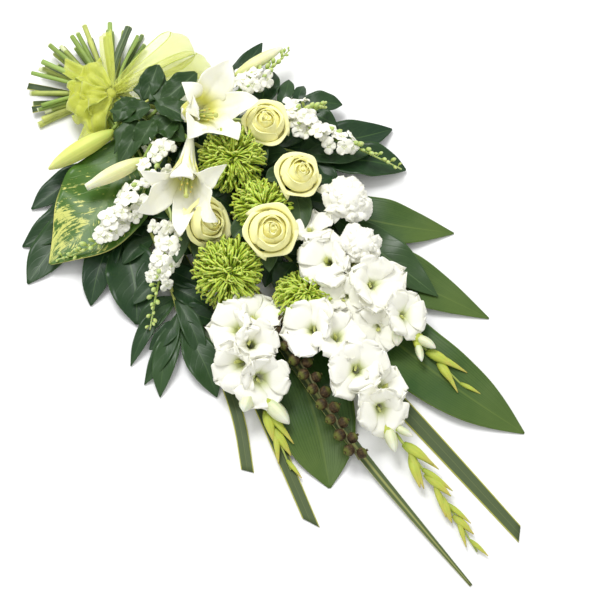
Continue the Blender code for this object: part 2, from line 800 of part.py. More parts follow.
def gladiolus_florets(name, given, seed):
    """White florets that overlap down the stalk, on a short spine of their own tubes."""
    stalk = route(given["stalk"], 24)
    shells = []
    roots = []
    for k, (centre, axis, radius) in enumerate(given["florets"]):
        near = min(stalk, key=lambda p: (p - vec(centre)).length)
        root = near + UP * 5
        shells.append(corolla(facing(centre, axis, 0.5 * k), radius, root, seed + k))
        roots.append(near + UP * 7)
    roots.sort(key=lambda p: -p.y)
    shells.append(tube(roots, (3.0, 3.0), 5))
    build(name + "_florets", shells, WHITE_PETAL)


def gladiolus_stalk(name, given):
    """The green spike: stalk, swelling buds and paired spathes to its tip."""
    line = route(given["stalk"], 8)
    shells = [tube(behind_tie(name) + line, (3.3, 3.2, 3.0, 2.2, 1.2), 5)]
    for base, tip, radius in given["buds"]:
        shells.append(bud(base, tip, radius))
    for base, tip, radius in given["spathes"]:
        shells.append(bud(base, tip, radius, 5, (0.6, 1.0, 0.7, 0.1)))
    build(name + "_stalk", shells, GREEN_STEM)


def gladioli():
    for seed, (name, given) in enumerate(GLADIOLI.items()):
        gladiolus_florets(name, given, 7 * seed + 2)
    for name, given in GLADIOLI.items():
        gladiolus_stalk(name, given)


STOCKS = {
    "stock_left": (((-76, 264, 42), (-122, 236, 48), (-180, 228, 38), (-233, 232, 20)), 10, 5),
    "stock_lower_left": (((-84, 184, 46), (-112, 148, 48), (-150, 118, 38), (-193, 76, 14)), 10, 4),
    "stock_middle": (((-26, 288, 50), (-42, 264, 56), (-68, 252, 56), (-96, 244, 50)), 7, 0),
    "stock_right": (((138, 234, 44), (155, 176, 48), (184, 137, 42), (207, 102, 32), (228, 74, 18)), 11, 4),
    "stock_back": (((96, 294, 44), (124, 306, 46), (158, 322, 40), (214, 328, 26)), 7, 5),
    "stock_far_right": (((140, 214, 50), (166, 204, 56), (192, 208, 46)), 5, 3),
}


def stocks():
    for seed, (name, (stalk, florets, buds)) in enumerate(STOCKS.items()):
        shells = stock(stalk, florets, buds, 30 + seed)
        start = vec(stalk[0])
        shells.append(stem(name, [start + (start - vec(stalk[1])).normalized() * 26, start], 2.3))
        build(name + "_spray", shells, WHITE_PETAL)


def flower_stems():
    """Stems rise into the flowers that they carry, highest in the bundle first."""
    lily_buds = [
        bud((-70, 346, 50), (-170, 362, 36), 11), bud((-66, 274, 62), (-152, 290, 50), 12),
        bud((118, 326, 56), (200, 328, 38), 8),
    ]
    stalks = {
        "lily_upper": [stem("lily_upper", [(-24, 330, 54), (-9, 304, 65)], 4.0), lily_buds[2], lily_buds[0]],
        "lily_lower": [stem("lily_lower", [(-14, 320, 46), (-2, 280, 52), (0, 259, 63)], 4.0), lily_buds[1]],
    }
    stalks["lily_upper"] += [
        tube(route([(-24, 331, 53), (30, 340, 62), (119, 326, 56)], 5), (2.6, 2.6), 5),
        tube(route([(-30, 345, 50), (-50, 352, 52), (-72, 346, 50)], 4), (2.6, 2.6), 5),
    ]
    stalks["lily_lower"] += [tube(route([(-12, 312, 47), (-40, 292, 62), (-68, 274, 62)], 4), (2.6, 2.6), 5)]
    for name, shells in stalks.items():
        build(name + "_stem", shells, (0.3, 0.42, 0.1))
    for group, depth in ((ROSES, 1.4), (MUMS, 0.78), (CARNATIONS, 1.1)):
        for name, given in group.items():
            centre = vec(given[0])
            axis = vec(given[1]).normalized()
            radius = given[3] if group is ROSES else given[2]
            root = centre - axis * radius * depth
            low = vec(root.x, root.y, PLACES[name][1]) + vec(0, 26, 0)
            shells = [stem(name, [low, root - axis * 8, root + axis * 3])]
            shells += stem_leaves(*STEM_LEAVES.get(name, ()))
            build(name + "_stem", shells, GREEN_STEM)


STEM_LEAVES = {
    "rose_left": (((-62, 170, 42), (-118, 120, 56), 30), ((-60, 160, 40), (-96, 92, 44), 28)),
    "rose_middle": (((5, 112, 42), (-36, 104, 60), 30), ((4, 98, 50), (-26, 34, 62), 30)),
    "rose_right": (((84, 136, 44), (50, 150, 66), 30), ((80, 130, 44), (44, 60, 52), 34)),
    "rose_upper": (((88, 226, 48), (62, 168, 60), 26), ((90, 226, 46), (136, 190, 54), 26)),
}


def leafy_stems():
    """Side shoots whose dark leaves stand out round the flowers."""
    stems = {
        "leafy_stem_back": (
            [(30, 345, 16), (90, 310, 20), (140, 262, 20), (172, 226, 18)],
            (
                ((88, 311, 20), (180, 346, 12), 26), ((112, 288, 20), (176, 306, 14), 36),
                ((150, 252, 20), (186, 288, 16), 22), ((170, 228, 19), (224, 198, 12), 40),
                ((160, 240, 19), (204, 262, 16), 34),
            ),
        ),
        "leafy_stem_right": (
            [(30, 300, 14), (110, 200, 18), (146, 150, 18)],
            (((112, 198, 18), (261, 139, 5), 46), ((144, 152, 18), (237, 76, 5), 44),
                ((130, 174, 18), (212, 118, 26), 34)),
        ),
        "leafy_stem_inner": (
            [(-36, 300, 22), (-20, 200, 26), (4, 120, 24), (20, 40, 24), (20, -10, 24)],
            (
                ((-12, 160, 26), (-64, 96, 34), 34), ((6, 130, 27), (60, 158, 34), 40),
                ((0, 150, 27), (-30, 196, 42), 34),
                ((14, 70, 26), (66, 40, 36), 40), ((18, 40, 26), (-26, 24, 30), 34),
                ((20, 4, 25), (48, -42, 28), 36),
                ((20, 0, 24), (4, -56, 26), 34), ((-34, 306, 23), (-58, 254, 40), 32),
                ((-32, 270, 24), (-70, 214, 36), 34),
                ((-24, 218, 25), (-82, 176, 38), 34), ((-14, 176, 26), (28, 214, 40), 32),
                ((-16, 184, 26), (-92, 150, 34), 34),
            ),
        ),
        "leafy_stem_middle": (
            [(-14, 320, 20), (20, 260, 25), (50, 200, 27), (76, 140, 27), (96, 90, 27)],
            (
                ((-8, 308, 23), (38, 272, 46), 32), ((16, 264, 26), (-40, 236, 44), 34),
                ((24, 252, 26), (70, 236, 44), 32),
                ((40, 216, 27), (-16, 178, 42), 34), ((50, 200, 28), (106, 178, 44), 34),
                ((66, 162, 28), (124, 116, 42), 34),
                ((64, 166, 28), (34, 136, 44), 30), ((84, 112, 28), (126, 40, 36), 30),
                ((90, 98, 27), (52, 36, 36), 34),
            ),
        ),
        "leafy_stem_left": (
            [(-72, 350, 8), (-110, 312, 9), (-146, 276, 9)],
            (((-96, 324, 9), (-223, 330, 3), 42), ((-118, 302, 9), (-264, 288, 2), 52),
                ((-142, 280, 9), (-288, 244, 2), 60)),
        ),
        "leafy_stem_lower_left": (
            [(-90, 310, 8), (-124, 262, 9), (-150, 212, 9)],
            (((-140, 232, 9), (-236, 158, 2), 44), ((-148, 216, 9), (-201, 97, 4), 50)),
        ),
        "leafy_sprig_below": (
            [(-96, 260, 8), (-118, 160, 9), (-140, 96, 10), (-156, 52, 9)],
            (
                ((-136, 104, 10), (-242, 52, 2), 36), ((-148, 76, 10), (-241, 19, 2), 28),
                ((-154, 60, 9), (-234, -8, 2), 32),
                ((-138, 98, 11), (-161, -6, 6), 28), ((-154, 56, 9), (-173, -52, 2), 34),
                ((-142, 92, 10), (-214, 74, 3), 20),
            ),
        ),
    }
    for name, (line, leaves) in stems.items():
        shells = [stem(name, line, steps=6)]
        shells += [leaf(*given, arch=7.0) for given in leaves]
        build(name, shells, DARK_LEAF, 0.35)


def ivy():
    """A trail of ivy over the front of the tie."""
    shells = [stem("ivy", [(-38, 360, 56), (-36, 336, 60), (-44, 306, 60)], 1.9, short=True)]
    shells.append(tube(route([(-37, 342, 59), (-14, 352, 62), (16, 342, 66)], 4), (1.6, 1.4), 4))
    leaves = (
        ((-6, 356, 60), (6, 392, 58), 36), ((6, 350, 66), (32, 372, 66), 34),
        ((8, 342, 66), (10, 304, 64), 34),
        ((-42, 350, 62), (-62, 368, 60), 34), ((-42, 318, 60), (-50, 290, 60), 36),
        ((-50, 336, 58), (-92, 312, 50), 30),
    )
    for centre, tip, width in leaves:
        shells.append(lobed_leaf(centre, tip, width))
    build("ivy_trail", shells, DARK_LEAF, 0.4)


def broad_leaves():
    """Long leaves that lie under the flowers, each on its own stalk from the tie."""
    spans = {
        "leaf_right_dark": ([(60, 200, 14), (105, 70, 18)], (105, 72, 18), (152, -108, 10), 44, 3.0),
        "leaf_right_upper": ([(50, 210, 8), (90, 118, 8)], (88, 122, 8), (232, -42, 1), 58, 6.0),
        "leaf_right_middle": ([(30, 190, 7), (68, 84, 7)], (66, 88, 7), (191, -172, 1), 66, 6.0),
        "leaf_right_lower": ([(20, 150, 6), (48, -20, 6)], (47, -16, 6), (126, -329, 1), 80, 5.0),
        "leaf_below": ([(-46, 180, 6), (-52, 30, 6)], (-52, 34, 6), (-126, -241, 1), 92, 5.0),
        "variegated_leaf": ([(-56, 350, 24), (-72, 300, 27)], (-70, 304, 27), (-250, 240, 8), 112, 6.0),
    }
    for name, (line, base, tip, width, arch) in spans.items():
        wave = 4.0 if name == "variegated_leaf" else 2.2
        blade_shell = leaf(base, tip, width, arch, cup=0.06, outline=LONG, rows=8, wave=wave)
        shells = [stem(name, line, 2.6, steps=4), blade_shell]
        build(name, shells, MID_LEAF, 0.4)


def straps():
    """Flax straps, flat on the table at their cut ends."""
    spans = {
        "strap_middle": ([(-50, 200, 11), (-62, -60, 11), (-70, -200, 9), (-57, -450, 1)],
            (7, 11, 12, 9, 2), 0.25),
        "strap_left": ([(-90, 200, 11), (-118, -30, 11), (-134, -100, 8), (-173, -265, 1)],
            (7, 14, 18, 18, 16), 0.1),
        "strap_far_left": ([(-100, 220, 11), (-140, 0, 11), (-157, -80, 8), (-199, -160, 1)],
            (7, 14, 18, 18, 16), 0.1),
        "strap_right": (
            [(-30, 300, 2), (-14, 200, 0.4), (0, 0, 0.4), (20, -213, 0.4), (35, -433, 0.4)],
            (7, 20, 24, 23, 17), 0.0,
        ),
    }
    for name, (line, widths, cup) in spans.items():
        way = behind_tie(name) + route([behind_tie(name)[-1], *line], 9)[1:]
        across = [*STRAP_BEHIND_TIE, *(profile(widths, k / 7) for k in range(8))]
        grid = []
        for point, along, width in zip(way, directions(way), across):
            side = along.cross(UP).normalized()
            lift = UP * cup * width / 2
            grid.append([point - side * width / 2 + lift, point, point + side * width / 2 + lift])
        build(name, [slab(grid, 1.0, lies=True)], MID_LEAF, 0.45)


def bundle_outline(gap):
    """Points round the whole bundle at the tie, so far out from its outer stems."""
    centres = [(x, z) for x, z, _, _ in PLACES.values()]
    outline = []
    for k in range(20):
        angle = 2 * math.pi * k / 20
        way = (math.cos(angle), math.sin(angle))
        x, z = max(centres, key=lambda c: c[0] * way[0] + c[1] * way[1])
        outline.append((x + way[0] * (STEM_RADIUS * 1.4 + gap), z + way[1] * (STEM_RADIUS + gap)))
    return outline


KNOT_RADIUS = 9.5

# How far each loop and tail of the bow reaches from its knot, and its width
BOW_LOOPS = (
    ((124, 2, -2), 44), ((122, -36, -12), 38), ((-52, 22, -6), 42), ((-8, 56, -2), 40), ((-58, -14, -14), 36),
)

BOW_TAILS = (((-26, 84, -8), 24), ((52, 96, -8), 18), ((-62, -36, -12), 26))


def ribbon_loop(knot, reach, width, rows=8):
    """One loop of the bow: out from the knot below and back to it above."""
    side = reach.cross(UP).normalized()
    start = math.asin(KNOT_RADIUS * 0.6 / reach.length) / math.pi
    grid = []
    for k in range(rows):
        t = lerp(start, 1 - start, k / (rows - 1))
        out = math.sin(math.pi * t)
        point = knot + reach * out - UP * 13 * math.sin(2 * math.pi * t) + UP * 5 * t
        half = width / 2 * lerp(0.25, 1.0, out)
        grid.append([point - side * half, point + UP * 2, point + side * half])
    return slab(grid, 1.0)


def ribbon():
    """The tie and its bow, one band of ribbon."""
    inner = bundle_outline(0.5)
    outer = bundle_outline(1.5)
    near = TIE_Y - TIE_LENGTH * 0.36
    far = TIE_Y + TIE_LENGTH * 0.36
    count = len(inner)
    corners = ((inner, near), (outer, near), (outer, far), (inner, far))
    points = [vec(x, y, z) for outline, y in corners for x, z in outline]
    faces = []
    for r in range(4):
        for i in range(count):
            a = r * count + i
            b = r * count + (i + 1) % count
            c = (r + 1) % 4 * count + i
            d = (r + 1) % 4 * count + (i + 1) % count
            faces += [(a, b, d), (a, d, c)]
    top = max(z for _, z in outer)
    knot = vec(TIE_X, TIE_Y, top + 3.0)
    shells = [turned_out((points, faces)), pod(knot, KNOT_RADIUS, 0.7, (0, 0, 1), 8)]
    for reach, width in BOW_LOOPS:
        shells.append(ribbon_loop(knot, vec(reach), width))
    for reach, width in BOW_TAILS:
        line = [knot, knot + vec(reach) * 0.5 + UP * 6, knot + vec(reach)]
        shells.append(blade(route(line, 5), (8, width, width * 1.1, width), 0.1, thickness=1.0))
    build("ribbon", shells, (0.45, 0.58, 0.08), 0.6)


def main():
    for old in list(bpy.data.objects):
        bpy.data.objects.remove(old)
    lilies()
    heads()
    seed_pods()
    gladioli()
    stocks()
    flower_stems()
    ribbon()
    ivy()
    straps()
    broad_leaves()
    leafy_stems()


main()
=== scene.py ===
"""The looks of a tied funeral bouquet: petals, leaves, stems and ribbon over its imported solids.

Lengths are in millimetres where a place or a size is named, and become metres when a mesh is made. The
cut stem ends point along +Y, +Z is up from the table, and the ground plane is z = 0.
"""

import math
import random

import bpy
import numpy as np
from bpy.props import FloatProperty, FloatVectorProperty, IntProperty, PointerProperty
from mathutils import Matrix, Vector


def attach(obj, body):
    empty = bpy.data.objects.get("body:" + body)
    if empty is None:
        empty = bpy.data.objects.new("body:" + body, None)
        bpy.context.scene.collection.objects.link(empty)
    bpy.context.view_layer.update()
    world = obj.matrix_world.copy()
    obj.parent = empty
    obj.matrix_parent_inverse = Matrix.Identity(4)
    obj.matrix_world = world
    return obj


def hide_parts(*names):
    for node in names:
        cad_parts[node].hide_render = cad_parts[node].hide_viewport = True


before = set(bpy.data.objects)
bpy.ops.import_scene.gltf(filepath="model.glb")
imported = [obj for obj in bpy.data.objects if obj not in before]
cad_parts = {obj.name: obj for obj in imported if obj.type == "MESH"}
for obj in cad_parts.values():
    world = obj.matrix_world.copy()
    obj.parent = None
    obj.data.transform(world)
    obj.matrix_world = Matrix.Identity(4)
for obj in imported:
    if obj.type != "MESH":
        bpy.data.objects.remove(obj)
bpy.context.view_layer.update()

bl_info = {
    "name": "Funeral bouquet",
    "version": (1, 0, 0),
    "blender": (4, 5, 0),
    "location": "3D View > Sidebar > Bouquet",
    "description": "Dresses the solids of a tied bouquet with petals, leaves, stems and ribbon",
    "category": "Object",
}

MM = 0.001
GOLDEN_ANGLE = math.radians(137.5)
UP = np.array((0.0, 0.0, 1.0))

# The camera looks down over the trailing tips, with the cut ends at the top left of the picture
CAMERA_AZIMUTH = math.radians(-35.7)
CAMERA_ELEVATION = math.radians(65.0)
CAMERA_DISTANCE = 2.4
PICTURE_WIDTH = 0.816
SENSOR_WIDTH = 36.0

# The floor, and the light's place and size, in metres
FLOOR_SIZE = 30.0
KEY_PLACE = (0.2, 1.35, 2.3)
KEY_SIZE = 1.2

# The tie, where every stem passes in its own place of the bundle, and the cut ends that fan out behind it
TIE_X = -41.0
TIE_Y = 400.0
TIE_LENGTH = 34.0
STEM_PITCH = 6.4
LEVEL_PITCH = 5.85
BUNDLE_FLOOR = 5.0
STEM_RADIUS = 2.9
CUT_REACH = 106.0
CUT_FLOOR = 4.5
CUT_LEVEL_PITCH = 5.6
KNOT_RADIUS = 9.5

# Which stems pass the tie at each level of the bundle, from the table up, with the place each heads for
LEVELS = (
    {
        "leaf_right_upper": (120, 70), "leaf_right_middle": (80, 40), "leaf_right_lower": (60, -60),
        "leaf_below": (-52, 0), "strap_right": (0, 0), "leafy_stem_left": (-100, 325),
        "leafy_stem_lower_left": (-120, 270), "leafy_sprig_below": (-118, 150),
    },
    {
        "strap_middle": (-62, -60), "strap_left": (-118, -60), "strap_far_left": (-140, -30),
        "leaf_right_dark": (105, 60), "leafy_stem_right": (110, 200), "leafy_stem_inner": (-10, 160),
        "leafy_stem_middle": (60, 170), "leafy_stem_back": (90, 310), "variegated_leaf": (-75, 285),
    },
    {
        "gladiolus_left": (-90, 30), "gladiolus_middle": (-16, -30), "gladiolus_right": (50, 60),
        "seed_pod_spike": (-48, -20), "carnation_upper": (120, 66), "carnation_lower": (96, 0),
        "stock_right": (135, 235),
    },
    {
        "mum_lower": (-12, -10), "mum_left": (-70, 66), "mum_middle": (22, 112), "rose_right": (84, 126),
        "rose_middle": (2, 76), "stock_back": (96, 296), "stock_far_right": (138, 217),
    },
    {
        "mum_upper": (27, 200), "rose_upper": (94, 215), "rose_left": (-50, 142),
        "stock_lower_left": (-82, 190), "stock_left": (-78, 262),
    },
    {"lily_lower": (0, 262), "lily_upper": (-8, 305), "stock_middle": (-30, 290), "ivy": (-36, 330)},
)

# Root, throat, mouth, petal tips, the width of the widest petal and the end of the pistil
LILIES = {
    "lily_upper": (
        (16, 299, 58), (22, 288, 80), (36, 269, 112),
        ((25, 309, 130), (99, 304, 124), (100, 234, 112), (42, 202, 106), (-15, 237, 118), (9, 280, 108)),
        44, (37, 247, 116),
    ),
    "lily_lower": (
        (3, 264, 60), (-35, 215, 86), (-61, 183, 107),
        ((-95, 234, 118), (-38, 214, 114), (4, 173, 120), (-49, 118, 102), (-101, 132, 94), (-126, 196, 96)),
        34, (-65, 168, 116),
    ),
}

# Centre, axis, turn and radius
ROSES = {
    "rose_upper": ((96, 213, 92), (-0.05, -0.2, 1.0), 0.4, 30.0),
    "rose_right": ((88, 120, 94), (0.15, -0.25, 0.95), 1.7, 29.0),
    "rose_middle": ((1, 64, 108), (-0.05, -0.35, 0.93), 2.6, 32.0),
    "rose_left": ((-50, 133, 78), (0.15, -0.6, 0.8), 0.9, 29.0),
}

# Centre, axis, radius and turn
MUMS = {
    "mum_upper": ((27, 193, 92), (-0.1, -0.3, 0.95), 47.0, 0.2),
    "mum_middle": ((22, 112, 78), (0.0, -0.3, 0.95), 43.0, 1.1),
    "mum_left": ((-74, 57, 80), (-0.2, -0.35, 0.9), 50.0, 2.0),
    "mum_lower": ((0, -20, 64), (0.35, -0.05, 0.93), 42.0, 0.7),
}

# Centre, axis, radius and turn
CARNATIONS = {
    "carnation_upper": ((124, 61, 72), (0.15, -0.1, 0.98), 38.0, 0.3),
    "carnation_lower": ((98, -6, 68), (0.1, -0.25, 0.96), 32.0, 1.0),
}

# Florets: centre, axis, radius. Buds and spathes: base, tip, radius
GLADIOLI = {
    "gladiolus_left": {
        "florets": (
            ((-110, -8, 62), (-0.35, 0.1, 0.9), 34), ((-76, -6, 58), (0.4, 0.1, 0.9), 34),
            ((-106, -40, 66), (-0.1, -0.35, 0.95), 35), ((-134, -48, 54), (-0.6, -0.2, 0.8), 34),
            ((-121, -80, 50), (-0.15, -0.5, 0.85), 35),
        ),
        "stalk": ((-88, 60, 24), (-98, -10, 28), (-117, -60, 26), (-132, -105, 18), (-153, -193, 5)),
        "buds": (((-142, -84, 32), (-163, -102, 38), 11), ((-128, -98, 24), (-122, -146, 26), 12)),
        "spathes": (((-134, -110, 16), (-150, -150, 12), 7), ((-140, -135, 12), (-142, -178, 8), 6)),
    },
    "gladiolus_middle": {
        "florets": (
            ((-31, -67, 67), (-0.3, 0.0, 0.95), 34), ((-4, -92, 60), (0.35, 0.0, 0.93), 34),
            ((-12, -148, 58), (-0.05, -0.35, 0.93), 37), ((-16, -206, 46), (0.0, -0.6, 0.8), 31),
        ),
        "stalk": (
            (-16, 0, 22), (-14, -80, 26), (-12, -160, 24), (-16, -235, 18), (-15, -330, 9), (-24, -420, 3),
        ),
        "buds": (((-20, -222, 24), (-34, -258, 28), 9), ((-14, -226, 24), (-2, -254, 26), 6)),
        "spathes": (
            ((-15, -252, 14), (-2, -298, 18), 7), ((-16, -270, 12), (-34, -312, 14), 7),
            ((-16, -300, 9), (-8, -344, 12), 6), ((-18, -335, 7), (-28, -372, 8), 6),
            ((-20, -365, 5), (-14, -400, 6), 5),
        ),
    },
    "gladiolus_right": {
        "florets": (
            ((58, 58, 60), (0.1, 0.35, 0.85), 27), ((48, 1, 62), (0.05, -0.2, 0.97), 36),
            ((78, -60, 58), (0.2, -0.3, 0.93), 38), ((88, -116, 46), (0.25, -0.5, 0.85), 29),
        ),
        "stalk": ((46, 90, 20), (60, 0, 24), (78, -80, 22), (88, -150, 16), (102, -240, 4)),
        "buds": (
            ((80, -110, 24), (56, -142, 34), 11), ((88, -140, 20), (98, -172, 26), 8),
            ((86, -148, 18), (72, -176, 24), 6),
        ),
        "spathes": (((90, -165, 13), (106, -205, 14), 7), ((94, -185, 10), (90, -226, 10), 6)),
    },
}

# The line of the stalk, how many florets of the solid it carries and how many buds towards its tip
STOCKS = {
    "stock_left": (
        ((-104, 238, 42), (-135, 228, 46), (-168, 214, 42), (-207, 219, 30), (-240, 236, 18)), 12, 5,
    ),
    "stock_lower_left": (((-90, 176, 46), (-112, 148, 48), (-150, 118, 38), (-193, 76, 14)), 13, 4),
    "stock_middle": (((-26, 288, 50), (-42, 264, 56), (-68, 252, 56), (-96, 244, 50)), 7, 0),
    "stock_right": (
        ((138, 234, 44), (155, 176, 48), (184, 137, 42), (207, 102, 32), (228, 74, 18)), 14, 4,
    ),
    "stock_back": (((102, 296, 48), (127, 294, 50), (157, 299, 44), (211, 319, 30)), 7, 5),
    "stock_far_right": (((140, 214, 50), (166, 204, 56), (192, 208, 46)), 5, 3),
}

# Leaves on the rose stems: base, tip, width
ROSE_LEAVES = {
    "rose_left": (((-62, 170, 42), (-118, 120, 56), 30), ((-60, 160, 40), (-96, 92, 44), 28)),
    "rose_middle": (((5, 112, 42), (-36, 104, 60), 30), ((4, 98, 50), (-26, 34, 62), 30)),
    "rose_right": (((84, 136, 44), (50, 150, 66), 30), ((80, 130, 44), (44, 60, 52), 34)),
    "rose_upper": (((88, 226, 48), (62, 168, 60), 26), ((90, 226, 46), (136, 190, 54), 26)),
}

# The stem's line past the tie and its leaves: base, tip, width
LEAFY_STEMS = {
    "leafy_stem_back": (
        ((30, 345, 16), (90, 310, 20), (140, 262, 20), (172, 226, 18)),
        (
            ((88, 320, 22), (186, 352, 30), 28), ((127, 270, 22), (175, 308, 18), 40),
            ((146, 254, 22), (185, 285, 18), 22), ((166, 238, 22), (197, 265, 16), 18),
            ((166, 236, 24), (222, 206, 20), 34), ((170, 226, 24), (194, 180, 24), 28),
        ),
    ),
    "leafy_stem_right": (
        ((30, 300, 14), (110, 200, 18), (146, 150, 18)),
        (
            ((112, 198, 18), (261, 139, 5), 58), ((144, 148, 18), (237, 75, 5), 54),
            ((130, 174, 18), (212, 118, 26), 34),
        ),
    ),
    "leafy_stem_inner": (
        ((-36, 300, 22), (-20, 200, 26), (4, 120, 24), (20, 40, 24), (20, -10, 24)),
        (
            ((-12, 160, 26), (-64, 96, 34), 34), ((6, 130, 27), (60, 158, 34), 40),
            ((0, 150, 27), (-30, 196, 42), 34), ((14, 70, 26), (66, 40, 36), 40),
            ((18, 40, 26), (-26, 24, 30), 34), ((20, 4, 25), (48, -42, 28), 36),
            ((20, 0, 24), (4, -56, 26), 34), ((-34, 306, 23), (-58, 254, 40), 32),
            ((-32, 270, 24), (-70, 214, 36), 34), ((-24, 218, 25), (-82, 176, 38), 34),
            ((-14, 176, 26), (28, 214, 40), 32), ((-16, 184, 26), (-92, 150, 34), 34),
        ),
    ),
    "leafy_stem_middle": (
        ((-14, 320, 20), (20, 260, 25), (50, 200, 27), (76, 140, 27), (96, 90, 27)),
        (
            ((-8, 308, 23), (38, 272, 46), 32), ((16, 264, 26), (-40, 236, 44), 34),
            ((24, 252, 26), (70, 236, 44), 32), ((40, 216, 27), (-16, 178, 42), 34),
            ((50, 200, 28), (106, 178, 44), 34), ((66, 162, 28), (124, 116, 42), 34),
            ((64, 166, 28), (34, 136, 44), 30), ((84, 112, 28), (126, 40, 36), 30),
            ((90, 98, 27), (52, 36, 36), 34),
        ),
    ),
    "leafy_stem_left": (
        ((-72, 350, 8), (-110, 312, 9), (-146, 276, 9)),
        (
            ((-96, 324, 9), (-223, 330, 3), 42), ((-118, 302, 9), (-264, 288, 2), 52),
            ((-142, 272, 9), (-288, 236, 2), 58),
        ),
    ),
    "leafy_stem_lower_left": (
        ((-90, 310, 8), (-124, 262, 9), (-150, 212, 9)),
        (((-140, 232, 9), (-236, 158, 2), 44), ((-148, 216, 9), (-201, 97, 4), 70)),
    ),
    "leafy_sprig_below": (
        ((-96, 260, 8), (-118, 160, 9), (-140, 96, 10), (-156, 52, 9)),
        (
            ((-146, 99, 10), (-241, 52, 2), 22), ((-148, 76, 10), (-241, 19, 2), 28),
            ((-154, 60, 9), (-234, -8, 2), 32), ((-138, 98, 11), (-161, -6, 6), 28),
            ((-154, 56, 9), (-173, -52, 2), 46), ((-142, 92, 10), (-214, 74, 3), 20),
        ),
    ),
}

# Centre, tip and width of each ivy leaf
IVY_LEAVES = (
    ((-6, 356, 60), (6, 392, 58), 36), ((6, 350, 66), (32, 372, 66), 34), ((8, 342, 66), (10, 304, 64), 34),
    ((-42, 350, 62), (-62, 368, 60), 34), ((-42, 318, 60), (-50, 290, 60), 36),
    ((-50, 336, 58), (-92, 312, 50), 30),
)

# The stalk's line, then base, tip, width and arch of the blade
BROAD_LEAVES = {
    "leaf_right_dark": (((60, 200, 14), (105, 70, 18)), (105, 72, 18), (152, -108, 10), 60, 3.0),
    "leaf_right_upper": (((50, 210, 8), (90, 118, 8)), (88, 122, 8), (232, -42, 1), 68, 6.0),
    "leaf_right_middle": (((30, 190, 7), (68, 84, 7)), (66, 88, 7), (191, -172, 1), 72, 6.0),
    "leaf_right_lower": (((20, 150, 6), (48, -20, 6)), (47, -16, 6), (126, -329, 1), 92, 5.0),
    "leaf_below": (((-46, 180, 6), (-52, 30, 6)), (-52, 34, 6), (-126, -241, 1), 108, 5.0),
    "variegated_leaf": (((-50, 366, 24), (-46, 340, 33)), (-46, 336, 34), (-250, 236, 18), 128, 4.0),
}

# The line past the tie, the widths along it, the fold of its section and how far its tip is cut aslant
STRAPS = {
    "strap_middle": (
        ((-50, 200, 11), (-62, -60, 11), (-70, -200, 9), (-57, -450, 1)), (7, 12, 15, 13, 4), 0.25, 0.0,
    ),
    "strap_left": (
        ((-90, 200, 4), (-118, -30, 5), (-134, -100, 5), (-173, -265, 1)), (7, 14, 18, 18, 16), 0.1, -20.0,
    ),
    "strap_far_left": (
        ((-100, 220, 3), (-140, 0, 1.4), (-157, -80, 3), (-199, -160, 1)), (7, 14, 18, 18, 16), 0.1, -7.0,
    ),
    "strap_right": (
        ((-30, 300, 2), (-14, 200, 0.4), (0, 0, 0.4), (20, -213, 0.4), (35, -433, 0.4)),
        (7, 20, 24, 23, 17), 0.0, 15.0,
    ),
}

# The straps' widths at the points between their cut ends and the front of the tie
STRAP_BEHIND_TIE = (11.0, 8.0, 5.6, 5.6)

# How far each loop and tail of the bow reaches from its knot, and its width
BOW_LOOPS = (
    ((128, 10, -2), 50), ((132, -32, -12), 46), ((-50, 26, -8), 52), ((-8, 52, -4), 44),
    ((-52, -16, -14), 48), ((-36, 8, 4), 40),
)
BOW_TAILS = (((-26, 84, -8), 24), ((52, 96, -8), 18), ((-62, -36, -12), 26))

# The line that the seed pods sit along, from the flowers towards the tip
POD_STALK = ((-54, -16, 44), (-61, -46, 49), (-66, -117, 46), (-73, -188, 34), (-76, -238, 22))
POD_COUNT = 19
POD_RADIUS = 7.6

# Outlines of leaves: shares of the greatest width at even steps from base to tip
LANCE = (0.12, 0.55, 0.9, 1.0, 0.88, 0.55, 0.03)
OVAL = (0.14, 0.66, 0.95, 1.0, 0.9, 0.62, 0.05)
LONG = (0.1, 0.45, 0.78, 0.96, 1.0, 0.93, 0.72, 0.38, 0.03)
FULL = (0.1, 0.45, 0.78, 0.96, 1.0, 0.98, 0.88, 0.62, 0.03)
BROAD = (0.1, 0.72, 1.0, 1.0, 0.96, 0.9, 0.78, 0.46, 0.03)
IVY_OUTLINE = (0.35, 0.62, 0.58, 0.66, 1.0, 0.7, 0.36, 0.24, 0.02)

# How far apart the pairs of leaves are that close the gaps between the flowers
FILLER_SPACING = 34.0

# How far each long leaf bows to one side at its middle
LEAF_BOWS = {
    "leaf_right_upper": 10.0, "leaf_right_middle": 3.0, "leaf_right_lower": 10.0, "leaf_below": -19.0,
    "variegated_leaf": -21.0,
}

# How far apart the sheaths are at the tip of a gladiolus
SHEATH_SPACING = 21.0

# Florets that fill a gladiolus between those of its solid: centre, axis, radius
EXTRA_FLORETS = {
    "gladiolus_right": (
        ((77, -13, 48), (0.3, -0.1, 0.9), 30), ((37, -50, 48), (-0.2, -0.2, 0.93), 30),
        ((48, -108, 40), (0.0, -0.4, 0.9), 28),
    ),
    "gladiolus_middle": (((14, -34, 44), (0.2, 0.3, 0.9), 28), ((8, -178, 40), (0.4, -0.2, 0.85), 28)),
}

# The unlobed leaves among the ivy: base, tip, width
TIE_LEAVES = (
    ((32, 387, 68), (-15, 354, 62), 32), ((68, 344, 70), (0, 334, 66), 36),
    ((-4, 340, 66), (22, 284, 66), 34), ((-14, 337, 66), (-58, 346, 58), 32),
    ((-23, 317, 64), (-62, 298, 58), 32), ((-32, 331, 60), (-96, 294, 52), 32),
    ((-22, 360, 64), (-66, 352, 56), 30), ((9, 303, 62), (-44, 290, 56), 34),
    ((-20, 326, 58), (-4, 268, 56), 34),
)

# The height of the lowest points of a leaf that lies on the table
LEAF_REST = 0.8

